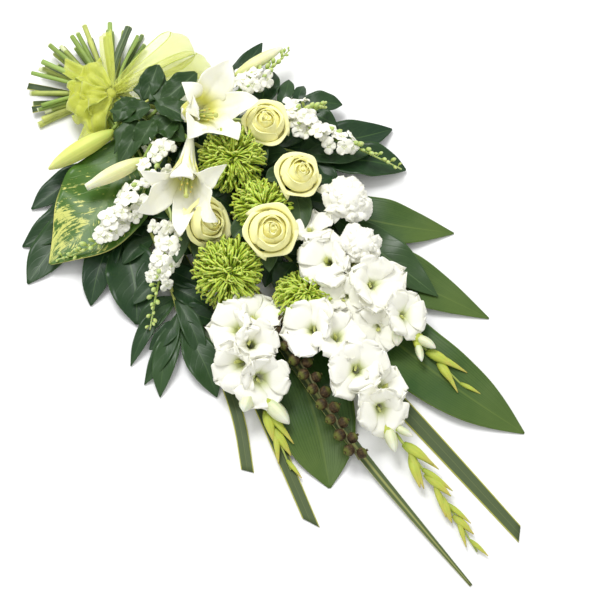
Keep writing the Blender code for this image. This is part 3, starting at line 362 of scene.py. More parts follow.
# The same for a flax strap, and its thickness in metres
STRAP_REST = 0.9
STRAP_THICKNESS = 0.001

# How far along x the long smooth loops of the bow reach at least
LONG_LOOP = 60

# Points across a lily petal, and the row of them that shows which way its margins turn
LILY_COLUMNS = 17
LILY_WAIST = 17

# The radii of a lily's stalk and of its buds' side stalks
LILY_STALK = 4.0
LILY_SIDE_STALK = 2.6

# Points round a bud, every other one of them in a groove
BUD_SIDES = 12

# Gladiolus florets are made this much wider than their solids, so that they overlap
FLORET_SPREAD = 1.1


class BouquetSizes(bpy.types.PropertyGroup):
    """Counts and thicknesses that set how fine the flowers are."""

    rose_petals: IntProperty(name="Rose petals", description="Petals in each rose", default=16, min=8, max=60)
    mum_needles: IntProperty(
        name="Chrysanthemum petals", description="Curled petals in each spider chrysanthemum",
        default=360, min=60, max=600,
    )
    carnation_petals: IntProperty(
        name="Carnation petals", description="Frilled petals in each carnation", default=30, min=12, max=60,
    )
    stock_florets: FloatProperty(
        name="Stock florets", description="Florets for each one of the solid spray",
        default=1.4, min=1.0, max=4.0,
    )
    petal_thickness: FloatProperty(
        name="Petal thickness", description="Thickness of a petal", default=0.0006, subtype="DISTANCE",
        unit="LENGTH",
    )
    leaf_thickness: FloatProperty(
        name="Leaf thickness", description="Thickness of a leaf", default=0.0007, subtype="DISTANCE",
        unit="LENGTH",
    )
    ribbon_thickness: FloatProperty(
        name="Ribbon thickness", description="Thickness of the organza", default=0.0003, subtype="DISTANCE",
        unit="LENGTH",
    )


def colour_property(name, description, default):
    return FloatVectorProperty(name=name, description=description, subtype="COLOR", size=3, default=default)


class BouquetColours(bpy.types.PropertyGroup):
    """The colours of the flowers, leaves and ribbon."""

    lily_white: colour_property("Lily white", "The broad part of a lily petal", (0.97, 0.96, 0.82))
    rose_cream: colour_property("Rose cream", "The outer rose petals", (0.99, 0.965, 0.5))
    rose_heart: colour_property("Rose heart", "The folds at the heart of a rose", (1.0, 0.93, 0.38))
    lime: colour_property("Lime", "The chrysanthemum petals", (0.5, 0.65, 0.05))
    flower_white: colour_property("White", "Carnations, gladioli and stocks", (0.97, 0.96, 0.85))
    leaf_green: colour_property("Leaf green", "The broad leaves", (0.025, 0.075, 0.012))
    dark_green: colour_property("Dark green", "The glossy leaves of the leafy stems", (0.01, 0.035, 0.012))
    stem_green: colour_property("Stem green", "Stems, spathes and buds", (0.22, 0.33, 0.05))
    ribbon_lime: colour_property("Ribbon lime", "The sheer organza", (0.7, 0.75, 0.07))


class BouquetStage(bpy.types.PropertyGroup):
    """The floor and the light."""

    floor_colour: colour_property("Floor", "The pale floor", (0.93, 0.93, 0.93))
    key_power: FloatProperty(
        name="Key light", description="Power of the large soft light", default=46.0, min=0.0, unit="POWER",
    )
    sky_strength: FloatProperty(
        name="Surroundings", description="Strength of the white surroundings", default=0.84, min=0.0,
    )


def vec(values):
    return np.array(values, dtype=float)


def unit(v):
    return v / max(float(np.linalg.norm(v)), 1e-9)


def lerp(a, b, t):
    return a + (b - a) * t


def profile(stations, t):
    """The values at t on a line through evenly spaced stations."""
    return np.interp(t, np.linspace(0.0, 1.0, len(stations)), stations)


def rounded(points, times):
    """The same line with its corners cut, which never swings wide of its points."""
    points = np.asarray(points, dtype=float)
    for _ in range(times):
        cut = np.empty((2 * (len(points) - 1), points.shape[1]))
        cut[0::2] = points[:-1] * 0.75 + points[1:] * 0.25
        cut[1::2] = points[:-1] * 0.25 + points[1:] * 0.75
        points = np.vstack((points[:1], cut, points[-1:]))
    return points


def resampled(points, count):
    """So many points spread evenly along a line. Columns past the third are carried along with it."""
    steps = np.linalg.norm(np.diff(points[:, :3], axis=0), axis=1)
    places = np.concatenate(([0.0], np.cumsum(steps)))
    goals = np.linspace(0.0, places[-1], count)
    return np.stack([np.interp(goals, places, points[:, i]) for i in range(points.shape[1])], axis=1)


def route(points, count, times=3):
    return resampled(rounded(points, times), count)


def length_of(line):
    return float(np.linalg.norm(np.diff(line, axis=0), axis=1).sum())


def widening(stations, count, times=3):
    """A route through points that each carry a width, with the widths in its fourth column."""
    return route([(*point, width) for point, width in stations], count, times)


def arched(base, tip, t, lift):
    """Points from base to tip at the shares t of the way, bowed by lift halfway."""
    return base + np.outer(t, tip - base) + np.outer(np.sin(math.pi * t), lift)


def above_table(grid, least):
    """Lifts the points that would sink into the table."""
    grid[..., 2] += np.maximum(0.0, least - grid[..., 2])
    return grid


def spoke(angle):
    """The ways outwards and sideways at an angle round z."""
    return vec((math.cos(angle), math.sin(angle), 0)), vec((-math.sin(angle), math.cos(angle), 0))


def directions(points):
    ways = np.gradient(points, axis=0)
    return ways / np.maximum(np.linalg.norm(ways, axis=1, keepdims=True), 1e-9)


def facing(centre, axis, turn):
    """A matrix that puts local z along the axis at the centre."""
    place = Vector(axis).to_track_quat("Z", "Y").to_matrix().to_4x4()
    return Matrix.Translation(Vector(centre)) @ place @ Matrix.Rotation(turn, 4, "Z")


def moved(place, points):
    """Points put where a matrix says, whatever the shape of their array."""
    turn = np.array(place.to_3x3())
    return points @ turn.T + np.array(place.translation)


def deselect_all():
    for obj in bpy.context.selected_objects:
        obj.select_set(False)


def select_only(objects):
    deselect_all()
    for obj in objects:
        obj.select_set(True)
    bpy.context.view_layer.objects.active = objects[0]


patterns = {}


def grid_pattern(rows, columns):
    """A flat grid with its UV map, modelled once, and the number of the vertex at each row and column."""
    key = ("grid", rows, columns)
    if key not in patterns:
        deselect_all()
        bpy.ops.mesh.primitive_grid_add(
            x_subdivisions=columns - 1, y_subdivisions=rows - 1, size=2.0, calc_uvs=True,
        )
        patterns[key] = keep_pattern(lambda co: (np.rint((co[:, 1] + 1) / 2 * (rows - 1)), co[:, 0]))
    return patterns[key]


def ball_pattern(sides, rings):
    """A ball with its UV map, modelled once, whose rings of vertices can follow a line from pole to pole."""
    key = ("ball", sides, rings)
    if key not in patterns:
        deselect_all()
        bpy.ops.mesh.primitive_uv_sphere_add(
            segments=sides, ring_count=rings + 1, radius=1.0, calc_uvs=True,
        )

        def order(co):
            from_pole = 1 - np.arccos(np.clip(co[:, 2], -1, 1)) / math.pi
            return np.rint((rings + 1) * from_pole), around(co)

        patterns[key] = keep_pattern(order)
    return patterns[key]


def around(co):
    """The angle of each point round z, where a hair's breadth short of a full turn counts as nought."""
    angle = np.arctan2(co[:, 1], co[:, 0]) % (2 * math.pi)
    return np.where(angle > 2 * math.pi - 1e-4, 0.0, angle)


def keep_pattern(order_by):
    """The new primitive's mesh and the order of its vertices: row by row, and across each row."""
    made = bpy.context.object
    mesh = made.data
    co = np.empty(len(mesh.vertices) * 3)
    mesh.vertices.foreach_get("co", co)
    rows, across = order_by(co.reshape(-1, 3))
    order = np.lexsort((across, rows))
    bpy.data.objects.remove(made)
    mesh.shade_smooth()
    return mesh, order


def copy_of(pattern, points, shade):
    """A copy of a pattern with its own mesh, its vertices put at points in millimetres."""
    mesh, order = pattern
    made = mesh.copy()
    co = np.empty((len(order), 3))
    co[order] = np.asarray(points).reshape(-1, 3) * MM
    made.vertices.foreach_set("co", co.ravel())
    attribute = made.attributes.new("shade", "FLOAT", "POINT")
    attribute.data.foreach_set("value", np.full(len(order), shade))
    obj = bpy.data.objects.new("copy", made)
    bpy.context.scene.collection.objects.link(obj)
    return obj


def sheet(grid, shade=0.5):
    """A thin sheet through rows of points, an array of rows by columns by three."""
    return copy_of(grid_pattern(grid.shape[0], grid.shape[1]), grid, shade)


def rod(points, radii, sides=8, shade=0.5, flat=1.0):
    """A closed round body along points, with a radius at each. Flat squeezes its section."""
    points = np.asarray(points, dtype=float)
    ways = directions(points)
    side = unit(np.cross(ways[0], UP) if abs(ways[0][2]) < 0.9 else np.array((1.0, 0.0, 0.0)))
    angles = np.linspace(0.0, 2 * math.pi, sides, endpoint=False)
    body = [points[:1]]
    for point, way, radius in zip(points, ways, radii):
        side = unit(side - way * side.dot(way))
        other = np.cross(way, side) * flat
        body.append(point + radius * (np.outer(np.cos(angles), side) + np.outer(np.sin(angles), other)))
    body.append(points[-1:])
    return copy_of(ball_pattern(sides, len(points)), np.vstack(body), shade)


def blade_grid(spine, widths, columns, section, side=None):
    """Rows of points across a spine. Section gives the lift at s across and t along, in half widths."""
    ways = directions(spine)
    rows = len(spine)
    t = np.linspace(0.0, 1.0, rows)
    s = np.linspace(-1.0, 1.0, columns)
    grid = np.empty((rows, columns, 3))
    for k in range(rows):
        way = ways[k]
        across = np.cross(way, UP) if side is None else side - way * side.dot(way)
        across = unit(across) if np.linalg.norm(across) > 0.05 else np.array((1.0, 0.0, 0.0))
        half = widths[k] / 2
        lift = section(s, t[k]) * half
        grid[k] = spine[k] + np.outer(s * half, across) + np.outer(lift, np.cross(across, way))
    return grid


def one_object(objects):
    select_only(objects)
    if len(objects) > 1:
        bpy.ops.object.join()
    return bpy.context.object


def joined(name, sheets=(), thickness=0.0, rods=()):
    """One piece: sheets, given walls of so many metres, and closed bodies joined to them."""
    made = None
    if sheets:
        made = one_object(list(sheets))
        wall = made.modifiers.new("Wall", "SOLIDIFY")
        wall.thickness = thickness
        wall.offset = 0.0
        bpy.ops.object.modifier_apply(modifier=wall.name)
    if rods:
        made = one_object([made, *rods] if made else list(rods))
    made.name = name
    made.data.name = name
    made.data.polygons.foreach_set("use_smooth", [True] * len(made.data.polygons))
    return made


def finish_piece(made, material, slot, *nodes):
    """Gives a piece its material, its body and the solids that it stands for. The slot is not used."""
    made.data.materials.clear()
    made.data.materials.append(material)
    made.data.polygons.foreach_set("material_index", [0] * len(made.data.polygons))
    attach(made, "root")
    if nodes:
        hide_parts(*nodes)


def bundle_places():
    """Each stem's x, height, level and share of its row, with the rows sorted so that stems fan out."""
    places = {}
    for level, row in enumerate(LEVELS):
        names = sorted(row, key=lambda name: math.atan2(row[name][0] - TIE_X, TIE_Y - row[name][1]))
        for i, name in enumerate(names):
            x = TIE_X + (i - (len(names) - 1) / 2) * STEM_PITCH
            z = BUNDLE_FLOOR + level * LEVEL_PITCH
            places[name] = (x, z, level, (i + 0.5) / len(names))
    return places


PLACES = bundle_places()


def behind_tie(name, short=False):
    """The stem's points from its cut end to the front of the tie."""
    x, z, level, share = PLACES[name]
    draw = random.Random(name)
    back = vec((x, TIE_Y + TIE_LENGTH / 2, z))
    front = vec((x, TIE_Y - TIE_LENGTH / 2, z))
    if short:
        return [back + vec((0, 12, 0)), front]
    angle = math.radians(lerp(-80, 62, share) + draw.uniform(-6, 6))
    reach = CUT_REACH * lerp(0.62, 1.0, math.cos(angle)) * draw.uniform(0.88, 1.12)
    end = back + vec((math.sin(angle) * reach, math.cos(angle) * reach, 0))
    end[2] = CUT_FLOOR + level * CUT_LEVEL_PITCH
    return [end, lerp(back, end, 0.35) + vec((0, 8 * abs(math.sin(angle)), 0)), back, front]


def stem(name, points, radius=STEM_RADIUS, short=False):
    """A stem from its cut end through the tie and on through points, some stouter at the foot than others."""
    line = route([*behind_tie(name, short), *(vec(p) for p in points)], 40)
    draw = random.Random(name + "_radius")
    t = np.linspace(0.0, 1.0, len(line))
    radii = radius * (1.0 - 0.14 * t) * (1.0 + 0.05 * np.sin(t * 40 + draw.uniform(0, 6)))
    beyond = np.clip((line[:, 1] - TIE_Y - TIE_LENGTH / 2) / 40, 0, 1)
    beside = np.clip((TIE_X - line[:, 0] - 40) / 40, 0, 1)
    radii = radii * (1.0 + draw.uniform(-0.1, 0.7) * np.minimum(beyond + beside, 1.0) * (t < 0.4))
    return rod(line, radii, 10, draw.uniform(0.0, 1.0))


def node(tree, kind, values=None, **settings):
    """A node with its settings, whose inputs take numbers, colours or other nodes' outputs."""
    made = tree.nodes.new(kind)
    for key, value in settings.items():
        setattr(made, key, value)
    for key, value in (values or {}).items():
        if isinstance(value, bpy.types.NodeSocket):
            tree.links.new(value, made.inputs[key])
        else:
            made.inputs[key].default_value = value
    return made


def maths(tree, operation, a, b=0.0, clamp=False):
    return node(tree, "ShaderNodeMath", {0: a, 1: b}, operation=operation, use_clamp=clamp).outputs[0]


def times(tree, a, b):
    return maths(tree, "MULTIPLY", a, b)


def plus(tree, a, b, clamp=False):
    return maths(tree, "ADD", a, b, clamp)


def minus(tree, a, b):
    return maths(tree, "SUBTRACT", a, b)


def off_middle(tree, across):
    """Nought on the middle line and one at either edge."""
    return maths(tree, "ABSOLUTE", times(tree, minus(tree, across, 0.5), 2.0))


def zigzag(tree, value):
    """A half at each whole number and nought halfway between them."""
    return maths(tree, "ABSOLUTE", minus(tree, maths(tree, "FRACT", value), 0.5))


def spot(tree, x, y=0.0):
    """A point from two numbers."""
    return node(tree, "ShaderNodeCombineXYZ", {"X": x, "Y": y}).outputs[0]


def step(tree, value, low, high, start=0.0, end=1.0):
    """A value that climbs softly from start to end between low and high."""
    values = {"Value": value, "From Min": low, "From Max": high, "To Min": start, "To Max": end}
    return node(tree, "ShaderNodeMapRange", values, interpolation_type="SMOOTHSTEP").outputs["Result"]


def mixed(tree, factor, a, b, mode="MIX"):
    """One colour over another."""
    made = node(tree, "ShaderNodeMix", {0: factor}, data_type="RGBA", blend_type=mode)
    for index, value in ((6, a), (7, b)):
        if isinstance(value, bpy.types.NodeSocket):
            tree.links.new(value, made.inputs[index])
        else:
            made.inputs[index].default_value = (*tuple(value)[:3], 1.0)
    return made.outputs[2]


def noise(tree, vector, scale, detail=3.0, roughness=0.55):
    values = {"Vector": vector, "Scale": scale, "Detail": detail, "Roughness": roughness}
    return node(tree, "ShaderNodeTexNoise", values).outputs["Fac"]


def new_group(name, inputs, outputs):
    """An empty node group with float inputs and outputs, and its two end nodes."""
    group = bpy.data.node_groups.new(name, "ShaderNodeTree")
    for title, default in inputs:
        socket = group.interface.new_socket(title, in_out="INPUT", socket_type="NodeSocketFloat")
        socket.default_value = default
    for title in outputs:
        group.interface.new_socket(title, in_out="OUTPUT", socket_type="NodeSocketFloat")
    return group, group.nodes.new("NodeGroupInput"), group.nodes.new("NodeGroupOutput")


def lengthwise_group():
    """How far along a petal or leaf a point is, how far from its middle line, and the piece's own shade."""
    tree, _, ends = new_group("Lengthwise", (), ("Along", "Across", "Off Middle", "Shade"))
    uv = node(tree, "ShaderNodeUVMap", uv_map="UVMap").outputs["UV"]
    parts = node(tree, "ShaderNodeSeparateXYZ", {0: uv}).outputs
    found = {
        "Along": parts["Y"], "Across": parts["X"], "Off Middle": off_middle(tree, parts["X"]),
        "Shade": node(tree, "ShaderNodeAttribute", attribute_name="shade").outputs["Fac"],
    }
    for title, value in found.items():
        tree.links.new(value, ends.inputs[title])
    return tree


def stripes_group():
    """Fine lengthwise veins side by side, uneven in strength, as on flax and on lily petals."""
    inputs = (("Across", 0.0), ("Along", 0.0), ("Count", 20.0))
    tree, given, ends = new_group("Parallel Veins", inputs, ("Veins",))
    across = given.outputs["Across"]
    wander = times(tree, minus(tree, noise(tree, spot(tree, across, given.outputs["Along"]), 6.0), 0.5), 0.03)
    lines = times(tree, plus(tree, across, wander), given.outputs["Count"])
    fade = noise(tree, spot(tree, lines), 0.9)
    veins = times(tree, step(tree, zigzag(tree, lines), 0.18, 0.5), step(tree, fade, 0.3, 0.65))
    tree.links.new(veins, ends.inputs["Veins"])
    return tree


def side_veins_group():
    """A middle rib with curved side veins that leave it in pairs."""
    inputs = (("Along", 0.0), ("Across", 0.0), ("Pairs", 7.0), ("Slant", 0.35), ("Width", 0.1))
    tree, given, ends = new_group("Side Veins", inputs, ("Veins",))
    along, across = given.outputs["Along"], given.outputs["Across"]
    middle = off_middle(tree, across)
    curve = times(tree, maths(tree, "POWER", middle, 1.3), given.outputs["Slant"])
    row = times(tree, minus(tree, along, curve), given.outputs["Pairs"])
    row = plus(tree, row, times(tree, noise(tree, spot(tree, across, along), 5.0), 0.35))
    side = step(tree, zigzag(tree, row), 0.0, given.outputs["Width"], 1.0, 0.0)
    side = times(tree, side, step(tree, middle, 0.75, 1.0, 1.0, 0.25))
    rib = step(tree, middle, 0.02, 0.09, 1.0, 0.0)
    tree.links.new(maths(tree, "MAXIMUM", side, rib), ends.inputs["Veins"])
    return tree


def mottle_group():
    """Soft uneven patches through the piece's own space."""
    tree, given, ends = new_group("Mottle", (("Scale", 40.0), ("Low", 0.35), ("High", 0.7)), ("Patches",))
    grain = noise(tree, node(tree, "ShaderNodeTexCoord").outputs["Object"], given.outputs["Scale"], 4.0)
    tree.links.new(step(tree, grain, given.outputs["Low"], given.outputs["High"]), ends.inputs["Patches"])
    return tree


groups = {}


def placed(tree, name, values=None):
    """A shared group placed in a material with its own values."""
    makers = {
        "Lengthwise": lengthwise_group, "Parallel Veins": stripes_group, "Side Veins": side_veins_group,
        "Mottle": mottle_group,
    }
    if name not in groups:
        groups[name] = makers[name]()
    return node(tree, "ShaderNodeGroup", values, node_tree=groups[name]).outputs


def fine_veins(tree, at, count):
    """So many parallel veins across a piece."""
    given = {"Across": at["Across"], "Along": at["Along"], "Count": count}
    return placed(tree, "Parallel Veins", given)["Veins"]


def side_veins(tree, at, pairs, slant, width):
    values = {"Along": at["Along"], "Across": at["Across"], "Pairs": pairs, "Slant": slant, "Width": width}
    return placed(tree, "Side Veins", values)["Veins"]


def mottled(tree, scale, low=0.35, high=0.7):
    return placed(tree, "Mottle", {"Scale": scale, "Low": low, "High": high})["Patches"]


def start_material(name, roughness, **sockets):
    """A new material, its node tree and its Principled shader, with values on the shader's own sockets."""
    material = bpy.data.materials.new(name)
    material.use_nodes = True
    tree = material.node_tree
    shader = tree.nodes["Principled BSDF"]
    shader.inputs["Roughness"].default_value = roughness
    for key, value in sockets.items():
        shader.inputs[key.replace("_", " ")].default_value = value
    return material, tree, shader


def bumped(tree, shader, height, strength, distance):
    """Low relief from a height."""
    bump = node(tree, "ShaderNodeBump", {"Height": height, "Strength": strength, "Distance": distance})
    tree.links.new(bump.outputs["Normal"], shader.inputs["Normal"])


materials = {}


def finish(maker, *given):
    """Each finish is made once and shared by the pieces that have it."""
    plain = (g if isinstance(g, str) or not hasattr(g, "__len__") else tuple(g) for g in given)
    key = (maker.__name__, *plain)
    if key not in materials:
        materials[key] = maker(*given)
    return materials[key]


def petal_material(name, white, root_colour_and_shade, reach, veins, glow, stripe=0.1):
    """A soft petal that light comes through, deeper in colour towards its root, with faint veins. On
    carnations the deeper colour is painted shade.
    """
    material, tree, shader = start_material(
        name, 0.5, Subsurface_Weight=glow, Subsurface_Scale=0.004, Subsurface_Radius=(1.0, 0.95, 0.6),
        Specular_IOR_Level=0.25,
    )
    at = placed(tree, "Lengthwise")
    lines = fine_veins(tree, at, veins)
    patches = mottled(tree, 60.0)
    # Towards its root the petal takes the deeper colour, which on carnations is painted shade where the
    # petals crowd together.
    throat = step(tree, at["Along"], reach * 0.5, reach, 1.0, 0.0)
    throat = times(tree, throat, step(tree, at["Along"], reach * 0.3, reach * 0.6, 0.18, 1.0))
    streak = step(tree, at["Off Middle"], 0.0, 0.35, stripe, 0.0)
    streak = times(tree, streak, step(tree, at["Along"], 0.1, 0.85, 1.0, 0.0))
    base = mixed(tree, maths(tree, "MAXIMUM", throat, streak, clamp=True), white, root_colour_and_shade)
    tint = plus(tree, times(tree, lines, 0.05), times(tree, patches, 0.04))
    tint = plus(tree, tint, times(tree, at["Shade"], 0.06))
    base = mixed(tree, tint, base, mixed(tree, 0.5, root_colour_and_shade, (0.7, 0.7, 0.4)))
    tree.links.new(base, shader.inputs["Base Color"])
    bumped(tree, shader, minus(tree, times(tree, patches, 0.3), lines), 0.15, 0.0004)
    return material


def rose_material(cream, heart):
    """Rose petals: paler at the lip, a warm yellow down in the folds and a little green at the foot."""
    material, tree, shader = start_material(
        "Rose petal", 0.6, Subsurface_Weight=0.08, Subsurface_Scale=0.005, Subsurface_Radius=(1.0, 0.9, 0.5),
        Specular_IOR_Level=0.2,
    )
    at = placed(tree, "Lengthwise")
    lines = fine_veins(tree, at, 26.0)
    depth = step(tree, at["Along"], 0.62, 0.97, 1.0, 0.0)
    depth = times(tree, depth, step(tree, at["Shade"], 0.1, 1.0, 1.0, 0.45))
    base = mixed(tree, depth, cream, heart)
    base = mixed(tree, step(tree, at["Along"], 0.1, 0.5, 0.25, 0.0), base, (0.7, 0.75, 0.25))
    base = mixed(tree, times(tree, lines, 0.06), base, heart)
    tree.links.new(base, shader.inputs["Base Color"])
    bumped(tree, shader, lines, 0.2, 0.0004)
    return material


def needle_material(lime):
    """Chrysanthemum petals: dark and leafy at the root, bright yellow lime at the curled tip."""
    material, tree, shader = start_material("Lime petal", 0.42, Subsurface_Weight=0.2, Subsurface_Scale=0.002)
    at = placed(tree, "Lengthwise")
    root = mixed(tree, 1.0, lime, (0.3, 0.38, 0.3), "MULTIPLY")
    tip = mixed(tree, 0.8, lime, (0.86, 0.95, 0.3))
    base = mixed(tree, step(tree, at["Along"], 0.2, 0.65), root, lime)
    brighter = plus(tree, 0.25, times(tree, at["Shade"], 0.75))
    base = mixed(tree, times(tree, step(tree, at["Along"], 0.5, 0.95), brighter), base, tip)
    base = mixed(tree, times(tree, mottled(tree, 90.0), 0.25), base, root)
    tree.links.new(base, shader.inputs["Base Color"])
    return material


def leaf_material(name, green, pale, pairs, slant, roughness, pale_veins):
    """A veined leaf with a waxy face, each leaf a little lighter or darker than the next."""
    material, tree, shader = start_material(
        name, roughness, Coat_Weight=0.1, Coat_Roughness=0.25, Specular_IOR_Level=0.22,
    )
    at = placed(tree, "Lengthwise")
    veins = side_veins(tree, at, pairs, slant, 0.12)
    patches = mottled(tree, 28.0)
    lighter = mixed(tree, 0.4, green, pale)
    base = mixed(tree, times(tree, patches, 0.25), green, lighter)
    base = mixed(tree, times(tree, at["Shade"], 0.5), base, lighter)
    base = mixed(tree, times(tree, veins, pale_veins), base, lighter)
    base = mixed(tree, step(tree, at["Off Middle"], 0.015, 0.05, 0.4, 0.0), base, pale)
    base = mixed(tree, step(tree, at["Off Middle"], 0.93, 1.0, 0.0, 0.3), base, pale)
    tree.links.new(base, shader.inputs["Base Color"])
    tree.links.new(plus(tree, roughness, times(tree, patches, 0.12)), shader.inputs["Roughness"])
    relief = minus(tree, times(tree, patches, 0.4), veins)
    bumped(tree, shader, relief, 0.1 + pale_veins * 0.4, 0.0009)
    return material


def parallel_leaf_material(name, green, pale, count, edge, edge_width, roughness, rib=0.05):
    """A long leaf with parallel veins, a pale middle rib, a paler tip and a thin edge of another colour."""
    material, tree, shader = start_material(
        name, roughness, Coat_Weight=0.08, Coat_Roughness=0.3, Specular_IOR_Level=0.22,
    )
    at = placed(tree, "Lengthwise")
    veins = fine_veins(tree, at, count)
    patches = mottled(tree, 16.0)
    base = mixed(tree, times(tree, patches, 0.4), green, pale)
    base = mixed(tree, step(tree, at["Along"], 0.4, 1.0, 0.0, 0.6), base, pale)
    base = mixed(tree, times(tree, veins, 0.4), base, mixed(tree, 0.5, green, (0.0, 0.0, 0.0)))
    middle = step(tree, at["Off Middle"], rib * 0.3, rib, 0.6, 0.0)
    base = mixed(tree, middle, base, mixed(tree, rib * 2, pale, edge))
    base = mixed(tree, step(tree, at["Off Middle"], 1.0 - edge_width, 1.0 - edge_width * 0.6), base, edge)
    tree.links.new(base, shader.inputs["Base Color"])
    tree.links.new(plus(tree, roughness, times(tree, patches, 0.2)), shader.inputs["Roughness"])
    bumped(tree, shader, minus(tree, patches, times(tree, veins, 0.4)), 0.4, 0.0009)
    return material


def variegated_material(green):
    """A broad green leaf, splashed with yellow blotches and fine streaks towards its tip and one edge."""
    material, tree, shader = start_material(
        "Variegated leaf", 0.36, Coat_Weight=0.12, Coat_Roughness=0.2, Specular_IOR_Level=0.22,
    )
    at = placed(tree, "Lengthwise")
    along, across = at["Along"], at["Across"]
    slanted = minus(tree, along, times(tree, at["Off Middle"], 0.28))
    streaks = spot(tree, times(tree, across, 5.0), times(tree, slanted, 26.0))
    blotches = spot(tree, times(tree, across, 3.0), times(tree, along, 7.0))
    fine = noise(tree, streaks, 1.6, 6.0, 0.75)
    coarse = noise(tree, blotches, 1.5, 4.0, 0.6)
    half = step(tree, across, 0.2, 0.9, 0.25, 1.0)
    reach = times(tree, half, step(tree, along, 0.4, 0.85, 0.0, 0.13))
    amount = plus(tree, times(tree, coarse, 0.4), times(tree, fine, 0.6))
    mask = step(tree, plus(tree, amount, reach), 0.58, 0.62)
    veins = side_veins(tree, at, 11.0, 0.3, 0.07)
    base = mixed(tree, coarse, green, mixed(tree, 0.5, green, (0.14, 0.24, 0.03)))
    base = mixed(tree, mask, base, mixed(tree, fine, (0.3, 0.42, 0.06), (0.8, 0.74, 0.22)))
    edge = times(tree, step(tree, at["Off Middle"], 0.96, 0.985), step(tree, along, 0.5, 0.8, 0.0, 0.7))
    base = mixed(tree, edge, base, (0.75, 0.7, 0.2))
    base = mixed(tree, times(tree, veins, 0.2), base, (0.3, 0.4, 0.12))
    tree.links.new(base, shader.inputs["Base Color"])
    bumped(tree, shader, veins, 0.35, 0.0008)
    return material


def stem_material(green):
    """Stems: some grey green and some yellow green, ribbed lengthwise, with a pale cut face."""
    material, tree, shader = start_material("Cut stem", 0.5, Specular_IOR_Level=0.35)
    at = placed(tree, "Lengthwise")
    ribs = fine_veins(tree, at, 9.0)
    base = mixed(tree, step(tree, at["Shade"], 0.0, 0.45), (0.05, 0.085, 0.04), green)
    base = mixed(tree, step(tree, at["Shade"], 0.45, 1.0), base, (0.56, 0.6, 0.14))
    base = mixed(tree, times(tree, mottled(tree, 45.0), 0.4), base, (0.1, 0.15, 0.04))
    base = mixed(tree, times(tree, ribs, 0.25), base, (0.5, 0.6, 0.25))
    base = mixed(tree, step(tree, at["Along"], 0.026, 0.03, 0.9, 0.0), base, (0.72, 0.76, 0.45))
    tree.links.new(base, shader.inputs["Base Color"])
    bumped(tree, shader, ribs, 0.3, 0.0005)
    return material


def bud_material(name, low, high, tip):
    """A bud: green at its foot, paler along the ribs and at its tip, with fine lengthwise lines."""
    material, tree, shader = start_material(
        name, 0.5, Subsurface_Weight=0.1, Subsurface_Scale=0.003, Specular_IOR_Level=0.35,
    )
    at = placed(tree, "Lengthwise")
    lines = fine_veins(tree, at, 20.0)
    base = mixed(tree, step(tree, at["Along"], 0.0, 0.45), low, high)
    base = mixed(tree, step(tree, at["Along"], 0.5, 1.0), base, tip)
    ribs = maths(tree, "PINGPONG", times(tree, at["Across"], 6.0), 1.0)
    base = mixed(tree, step(tree, ribs, 0.5, 1.0, 0.0, 0.35), base, low)
    base = mixed(tree, times(tree, lines, 0.18), base, low)
    base = mixed(tree, times(tree, mottled(tree, 50.0), 0.2), base, low)
    base = mixed(tree, times(tree, at["Shade"], 0.25), base, tip)
    tree.links.new(base, shader.inputs["Base Color"])
    bumped(tree, shader, lines, 0.35, 0.0004)
    return material


def pod_material():
    """Dry brown pods with seams, whose crowns are still green."""
    material, tree, shader = start_material("Seed pod", 0.6, Specular_IOR_Level=0.25)
    at = placed(tree, "Lengthwise")
    patches = mottled(tree, 220.0, 0.4, 0.62)
    base = mixed(tree, patches, (0.035, 0.02, 0.008), (0.09, 0.058, 0.02))
    seams = maths(tree, "PINGPONG", times(tree, at["Across"], 10.0), 1.0)
    base = mixed(tree, step(tree, seams, 0.0, 0.25, 0.6, 0.0), base, (0.02, 0.012, 0.006))
    base = mixed(tree, step(tree, at["Along"], 0.62, 0.95, 0.0, 0.8), base, (0.16, 0.19, 0.03))
    tree.links.new(base, shader.inputs["Base Color"])
    bumped(tree, shader, plus(tree, patches, step(tree, seams, 0.0, 0.3)), 0.6, 0.0008)
    return material


def organza_material(lime):
    """Sheer woven ribbon: a fine cross weave, denser at the two edges and where it is doubled."""
    material, tree, shader = start_material("Organza", 0.42, Sheen_Weight=0.4)
    at = placed(tree, "Lengthwise")
    across = maths(tree, "PINGPONG", times(tree, at["Across"], 60.0), 1.0)
    along = maths(tree, "PINGPONG", times(tree, at["Along"], 220.0), 1.0)
    threads = maths(tree, "MAXIMUM", step(tree, across, 0.55, 0.95), step(tree, along, 0.55, 0.95))
    edge = step(tree, at["Off Middle"], 0.93, 0.96)
    patches = mottled(tree, 30.0)
    base = mixed(tree, times(tree, patches, 0.5), lime, mixed(tree, 0.5, lime, (0.75, 0.85, 0.3)))
    base = mixed(tree, times(tree, edge, 0.7), base, (0.5, 0.62, 0.12))
    tree.links.new(base, shader.inputs["Base Color"])
    cover = plus(tree, 0.11, times(tree, threads, 0.1))
    cover = plus(tree, cover, times(tree, patches, 0.08))
    cover = plus(tree, cover, times(tree, at["Shade"], 0.3))
    cover = plus(tree, cover, times(tree, edge, 0.4), clamp=True)
    tree.links.new(cover, shader.inputs["Alpha"])
    bumped(tree, shader, threads, 0.3, 0.0002)
    return material


def stamen_material():
    """Pale green filaments with yellow brown tips."""
    material, tree, shader = start_material("Stamen", 0.6)
    at = placed(tree, "Lengthwise")
    patches = mottled(tree, 300.0)
    stalk = mixed(tree, at["Along"], (0.35, 0.45, 0.06), (0.6, 0.62, 0.2))
    tip = mixed(tree, patches, (0.6, 0.42, 0.05), (0.75, 0.6, 0.12))
    base = mixed(tree, step(tree, at["Shade"], 0.5, 0.9), stalk, tip)
    tree.links.new(base, shader.inputs["Base Color"])
    bumped(tree, shader, patches, 0.4, 0.0003)
    return material


def sizes():
    return bpy.context.scene.bouquet_sizes


def colours():
    return bpy.context.scene.bouquet_colours


